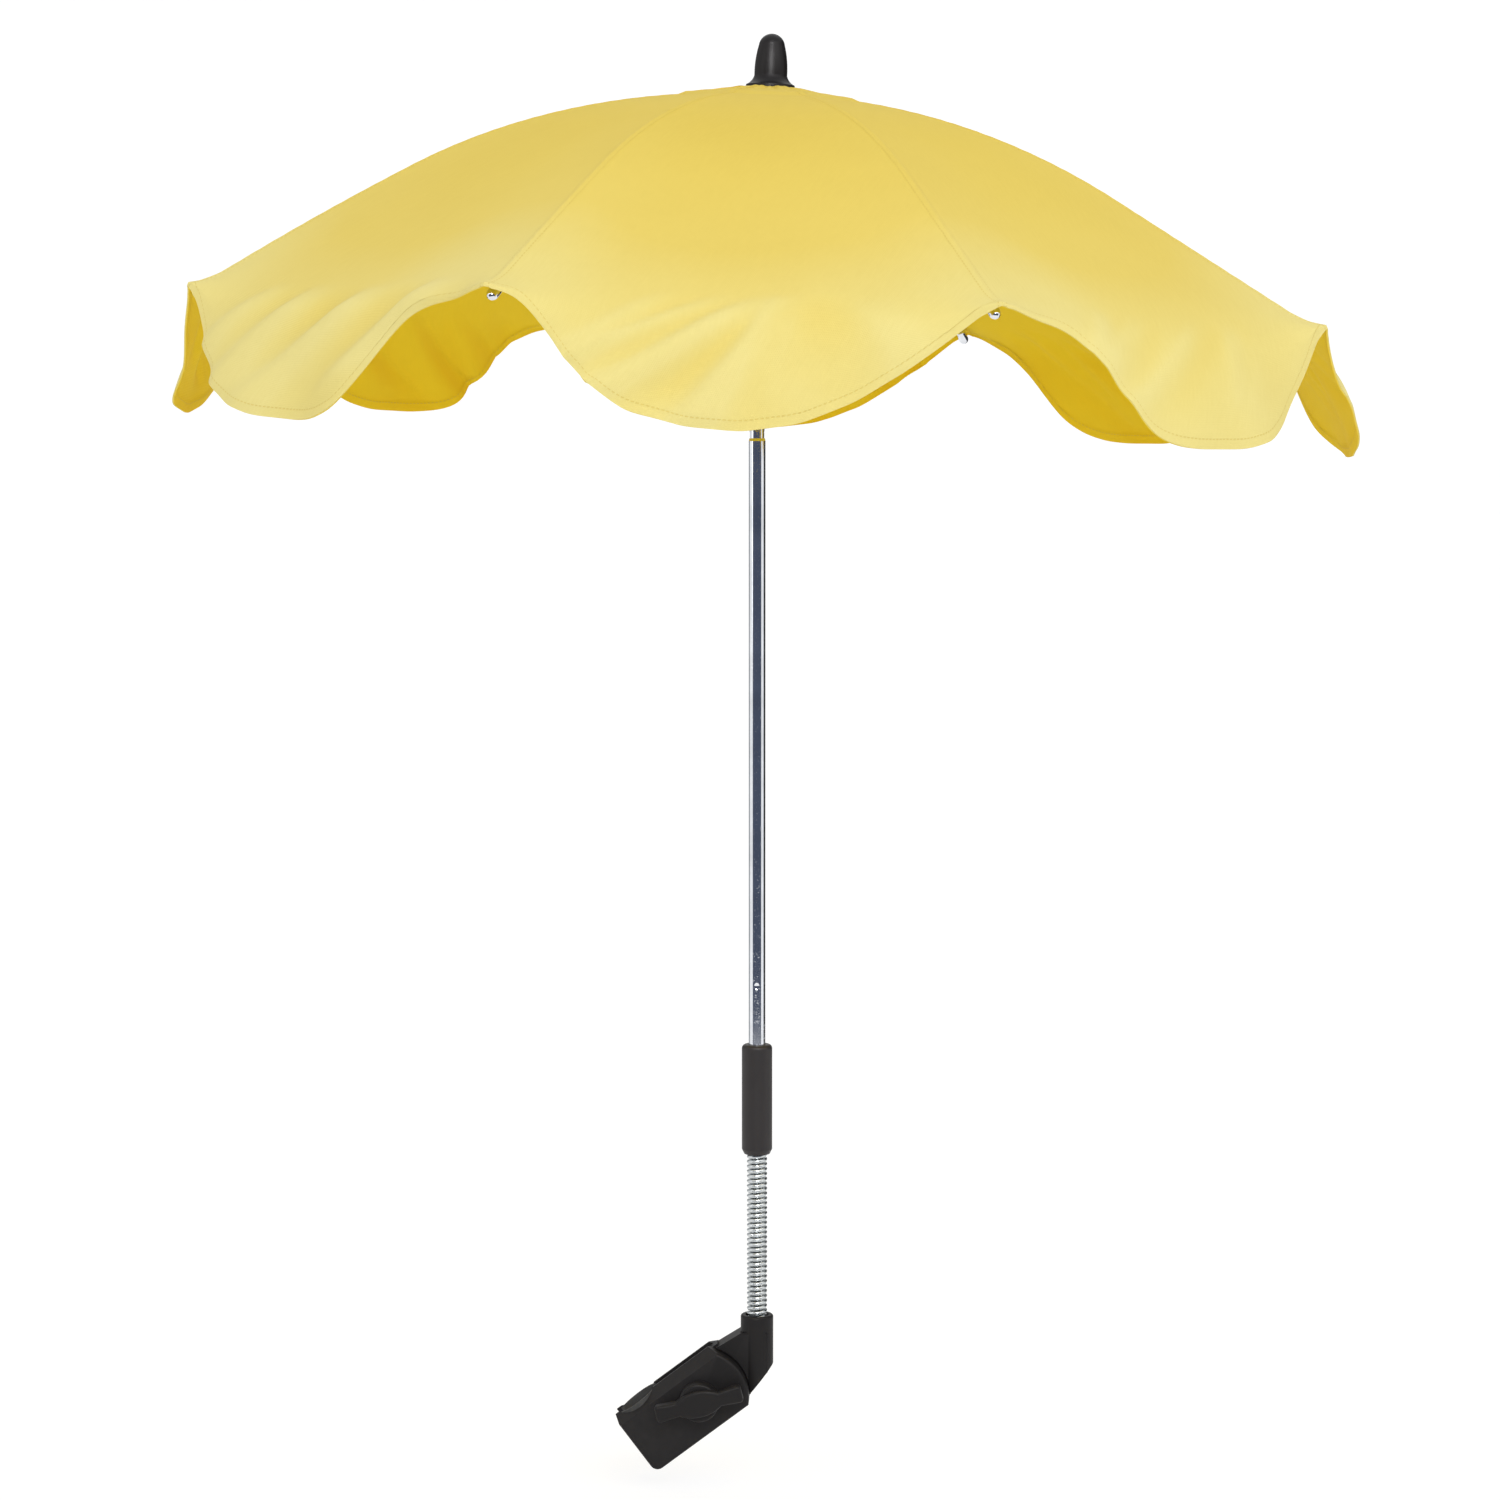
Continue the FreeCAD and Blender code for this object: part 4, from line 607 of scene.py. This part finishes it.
def make_caps():
    """A plated bullet with a rolled rim on the tip of each rib."""
    outline = [(along, CAP_R * share) for along, share in CAP_RIM]
    for step in range(CAP_NOSE_STEPS + 1):
        angle = math.pi / 2 * step / CAP_NOSE_STEPS
        along = CAP_LONG - CAP_R * CAP_NOSE * (1 - math.sin(angle))
        outline.append((along, CAP_R * max(math.cos(angle), 0.02)))
    for number in range(1, RIBS + 1):
        bearing = 2 * HALF_TURN * (number - 0.5)
        outward = np.array((math.cos(bearing), math.sin(bearing), 0))
        way = outward * math.cos(CAP_SLOPE) - np.array((0, 0, math.sin(CAP_SLOPE)))
        side = np.array((-math.sin(bearing), math.cos(bearing), 0))
        up = np.cross(way, side)
        start = outward * (TIP_R - CAP_BACK)
        start[2] = float(rib_height(np.array(TIP_R - CAP_BACK))) - CAP_UNDER
        points = []
        for along, radius in outline:
            for step in range(CAP_SIDES):
                turn = math.tau * step / CAP_SIDES
                points.append(start + way * along + (side * math.cos(turn) + up * math.sin(turn)) * radius)
        faces = ring_faces(len(outline), CAP_SIDES)
        piece = new_piece(f"cap_{number}", on_mast(points), faces, SLOT_OF[f"rib_cap_{number}"])
        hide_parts(f"rib_cap_{number}")
        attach(piece, f"rib_{number}")


make_caps()

# Bendable neck
NECK_LOW, NECK_HIGH = 0.0618, 0.1721
NECK_MIDDLE = (NECK_LOW + NECK_HIGH) / 2
COIL_WIRE_D, COIL_OUTER_D, COIL_PITCH = 0.00245, 0.0123, 0.00298
CORE_R = 0.0024
WIRE_SIDES, TURN_STEPS = 12, 28
CORE_SIDES, CORE_RINGS = 16, 24


def tube_mesh(path, radius, sides):
    """Points and faces of a closed round tube along a path, with flat ends."""
    path = np.asarray(path)
    way = np.gradient(path, axis=0)
    way /= np.linalg.norm(way, axis=1, keepdims=True)
    hint = np.array((SHAFT_X, 0, 0)) - path
    hint[:, 2] = 0
    if np.linalg.norm(hint[0]) < 1e-6:
        hint = np.tile((1.0, 0, 0), (len(path), 1))
    side = hint - way * np.sum(hint * way, axis=1, keepdims=True)
    side /= np.linalg.norm(side, axis=1, keepdims=True)
    up = np.cross(way, side)
    bearings = np.arange(sides) * math.tau / sides
    ring = side[:, None] * np.cos(bearings)[None, :, None] + up[:, None] * np.sin(bearings)[None, :, None]
    points = (path[:, None] + ring * radius).reshape(-1, 3)
    return points, ring_faces(len(path), sides)


def helix(low, high):
    """The wire's centre line between two heights, on one winding for the whole neck."""
    radius = (COIL_OUTER_D - COIL_WIRE_D) / 2
    start = NECK_LOW + COIL_WIRE_D
    first, last = (low - start) / COIL_PITCH, (high - start) / COIL_PITCH
    turns = np.linspace(first, last, round((last - first) * TURN_STEPS) + 1)
    angle = turns * math.tau
    x, y = SHAFT_X + radius * np.cos(angle), radius * np.sin(angle)
    return np.stack((x, y, start + COIL_PITCH * turns), axis=1)


def make_neck():
    """The coil and its core, each in two lengths, one below and one above the neck's middle."""
    low_hinge, high_hinge = JOINTS["neck_bend_side"], JOINTS["neck_bend_fore"]
    spans = (
        ("lower", NECK_LOW + COIL_WIRE_D, NECK_MIDDLE, low_hinge),
        ("upper", NECK_MIDDLE, NECK_HIGH - COIL_WIRE_D, high_hinge),
    )
    for label, low, high, hinge in spans:
        wire = tube_mesh(helix(low, high), COIL_WIRE_D / 2, WIRE_SIDES)
        coil = new_piece(f"coil_{label}", *wire, "zinc_steel")
        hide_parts("gooseneck_coil")
        line = [(SHAFT_X, 0.0, height) for height in np.linspace(low, high, CORE_RINGS)]
        core = new_piece(f"core_{label}", *tube_mesh(line, CORE_R, CORE_SIDES), "zinc_steel")
        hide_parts("bend_core")
        for piece in (coil, core):
            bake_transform(piece)


make_neck()

# Floor, light and camera
FLOOR_Z = CAD_BOX[0].z - 0.012
SWEEP_GLOW, SWEEP_SHADOW = 0.80, 0.30
SWEEP_FRONT, SWEEP_BACK, SWEEP_SIDE, SWEEP_TALL = -3.0, 1.6, 4.0, 3.2
SWEEP_BEND, SWEEP_BEND_STEPS = 0.8, 12


def background_rays(tree):
    """A factor that is 1 for the rays that see the background: camera, glossy and transmission rays."""
    rays = tree.nodes.new("ShaderNodeLightPath")
    factor = rays.outputs["Is Camera Ray"]
    for name in ("Is Glossy Ray", "Is Transmission Ray"):
        most = tree.nodes.new("ShaderNodeMath")
        most.operation = "MAXIMUM"
        tree.links.new(factor, most.inputs[0])
        tree.links.new(rays.outputs[name], most.inputs[1])
        factor = most.outputs[0]
    return factor


def stage_piece(name, points, faces, material):
    mesh = bpy.data.meshes.new(name)
    mesh.from_pydata(points, [], faces)
    mesh.polygons.foreach_set("use_smooth", [True] * len(faces))
    mesh.materials.append(material)
    piece = bpy.data.objects.new(name, mesh)
    bpy.context.scene.collection.objects.link(piece)
    return piece


def sweep_material():
    """White paper that the background rays see white, less the object's soft shadow."""
    nodes = Nodes("sweep_paper", Roughness=0.9)
    nodes.into("Base Color", nodes.ramp(nodes.noise(3.0, 2.0), (0.3, grey(0.86)), (0.7, grey(0.88))))
    glow = nodes.add("Emission", Color=(1, 1, 1, 1), Strength=SWEEP_GLOW)
    soft = nodes.add("BsdfDiffuse", Color=(*grey(SWEEP_SHADOW), 1))
    both = nodes.add("AddShader", _0=glow.outputs[0], _1=soft.outputs[0])
    shown = background_rays(nodes.tree)
    mix = nodes.add("MixShader", _0=shown, _1=nodes.shader.outputs[0], _2=both.outputs[0])
    nodes.surface(mix)
    return nodes.material


def make_stage():
    """A white sweep behind and below the object."""
    profile = [(SWEEP_FRONT, 0.0), (SWEEP_BACK, 0.0)]
    for step in range(1, SWEEP_BEND_STEPS + 1):
        angle = math.pi / 2 * step / SWEEP_BEND_STEPS
        profile.append((SWEEP_BACK + SWEEP_BEND * math.sin(angle), SWEEP_BEND * (1 - math.cos(angle))))
    profile.append((SWEEP_BACK + SWEEP_BEND, SWEEP_TALL))
    points = [(x, y, FLOOR_Z + z) for x in (-SWEEP_SIDE, SWEEP_SIDE) for y, z in profile]
    count = len(profile)
    faces = [(i, i + 1, count + i + 1, count + i) for i in range(count - 1)]
    stage_piece("sweep", points, faces, sweep_material())


# Screens that only reflections see: bearings in degrees from the right, heights, colour and strength
SCREENS = (
    ("front_screen", 210, 331, 0.001, 0.96, (0.075, 0.090, 0.135), 1.0),
    ("right_screen", 12, 74, 0.001, 1.7, (0.045, 0.045, 0.048), 1.0),
    ("left_screen", 112, 154, 0.001, 1.7, (0.34, 0.35, 0.36), 1.0),
    ("front_card", 262, 284, 0.98, 1.75, (1.0, 1.0, 1.0), 20.0),
)
SCREEN_R, SCREEN_STEPS = 1.45, 24


def make_screens():
    """Curved screens that give the pole, the coil and the finial something to reflect."""
    for name, start, end, low, high, colour, strength in SCREENS:
        bearings = np.radians(np.linspace(start, end, SCREEN_STEPS + 1))
        ring = [(SHAFT_X + SCREEN_R * math.cos(b), SCREEN_R * math.sin(b)) for b in bearings]
        points = [(x, y, z) for z in (FLOOR_Z + low, FLOOR_Z + high) for x, y in ring]
        above = len(ring)
        faces = [(i, i + 1, above + i + 1, above + i) for i in range(SCREEN_STEPS)]
        nodes = Nodes(name)
        nodes.surface(nodes.add("Emission", Color=(*colour, 1), Strength=strength))
        screen = stage_piece(name, points, faces, nodes.material)
        screen.visible_camera = screen.visible_diffuse = screen.visible_shadow = False
        screen.visible_transmission = screen.visible_volume_scatter = False


# Lamps: place, size, power and whether reflections see them; all aim at the middle of the object
LAMPS = (
    ("key_right", (1.9, -1.5, 1.9), (1.6, 1.6), 15.0, True),
    ("fill_left", (-1.9, -1.3, 1.2), (1.2, 1.8), 7.5, True),
    ("top", (0.1, 0.3, 2.6), (2.0, 2.0), 3.0, True),
    ("front_high", (0.25, -2.1, 2.1), (1.2, 1.2), 8.0, True),
    ("front_low", (0.3, -2.7, 0.8), (1.8, 1.8), 7.0, False),
)
LAMP_AIM = Vector((SHAFT_X, 0, 0.55))
WORLD_STRENGTH = 0.61


def make_lamps():
    for name, place, size, power, reflected in LAMPS:
        light = bpy.data.lights.new(name, "AREA")
        light.shape = "RECTANGLE"
        light.size, light.size_y = size
        light.energy = power
        lamp = bpy.data.objects.new(name, light)
        lamp.location = place
        lamp.rotation_euler = (LAMP_AIM - Vector(place)).to_track_quat("-Z", "Y").to_euler()
        lamp.visible_glossy = reflected
        bpy.context.scene.collection.objects.link(lamp)


def make_world():
    """Even white light all round, seen as plain white by the background rays."""
    world = bpy.data.worlds.new("studio")
    bpy.context.scene.world = world
    world.use_nodes = True
    tree = world.node_tree
    back = tree.nodes["Background"]
    back.inputs["Color"].default_value = (1, 1, 1, 1)
    back.inputs["Strength"].default_value = WORLD_STRENGTH
    bright = tree.nodes.new("ShaderNodeBackground")
    bright.inputs["Color"].default_value = (1, 1, 1, 1)
    bright.inputs["Strength"].default_value = 1.0
    mix = tree.nodes.new("ShaderNodeMixShader")
    tree.links.new(background_rays(tree), mix.inputs[0])
    tree.links.new(back.outputs[0], mix.inputs[1])
    tree.links.new(bright.outputs[0], mix.inputs[2])
    tree.links.new(mix.outputs[0], tree.nodes["World Output"].inputs["Surface"])


CAMERA_BACK, CAMERA_ASIDE, CAMERA_HEIGHT = 2.1420, -0.0042, 0.6052
CAMERA_ORBIT, CAMERA_PITCH = math.radians(1.9), math.radians(5.236)
CAMERA_LENS, CAMERA_SENSOR = 86.95, 36.0


def make_camera():
    data = bpy.data.cameras.new("camera")
    data.lens, data.sensor_width = CAMERA_LENS, CAMERA_SENSOR
    data.clip_start, data.clip_end = 0.05, 30.0
    camera = bpy.data.objects.new("camera", data)
    turn = Matrix.Rotation(CAMERA_ORBIT, 3, "Z")
    place = turn @ Vector((CAMERA_ASIDE, -CAMERA_BACK, 0))
    camera.location = place + Vector((SHAFT_X, 0, CAMERA_HEIGHT))
    camera.rotation_euler = (math.pi / 2 - CAMERA_PITCH, 0, CAMERA_ORBIT)
    bpy.context.scene.collection.objects.link(camera)
    bpy.context.scene.camera = camera


make_stage()
make_screens()
make_world()
make_lamps()
make_camera()
bpy.context.scene.view_settings.view_transform = "Standard"
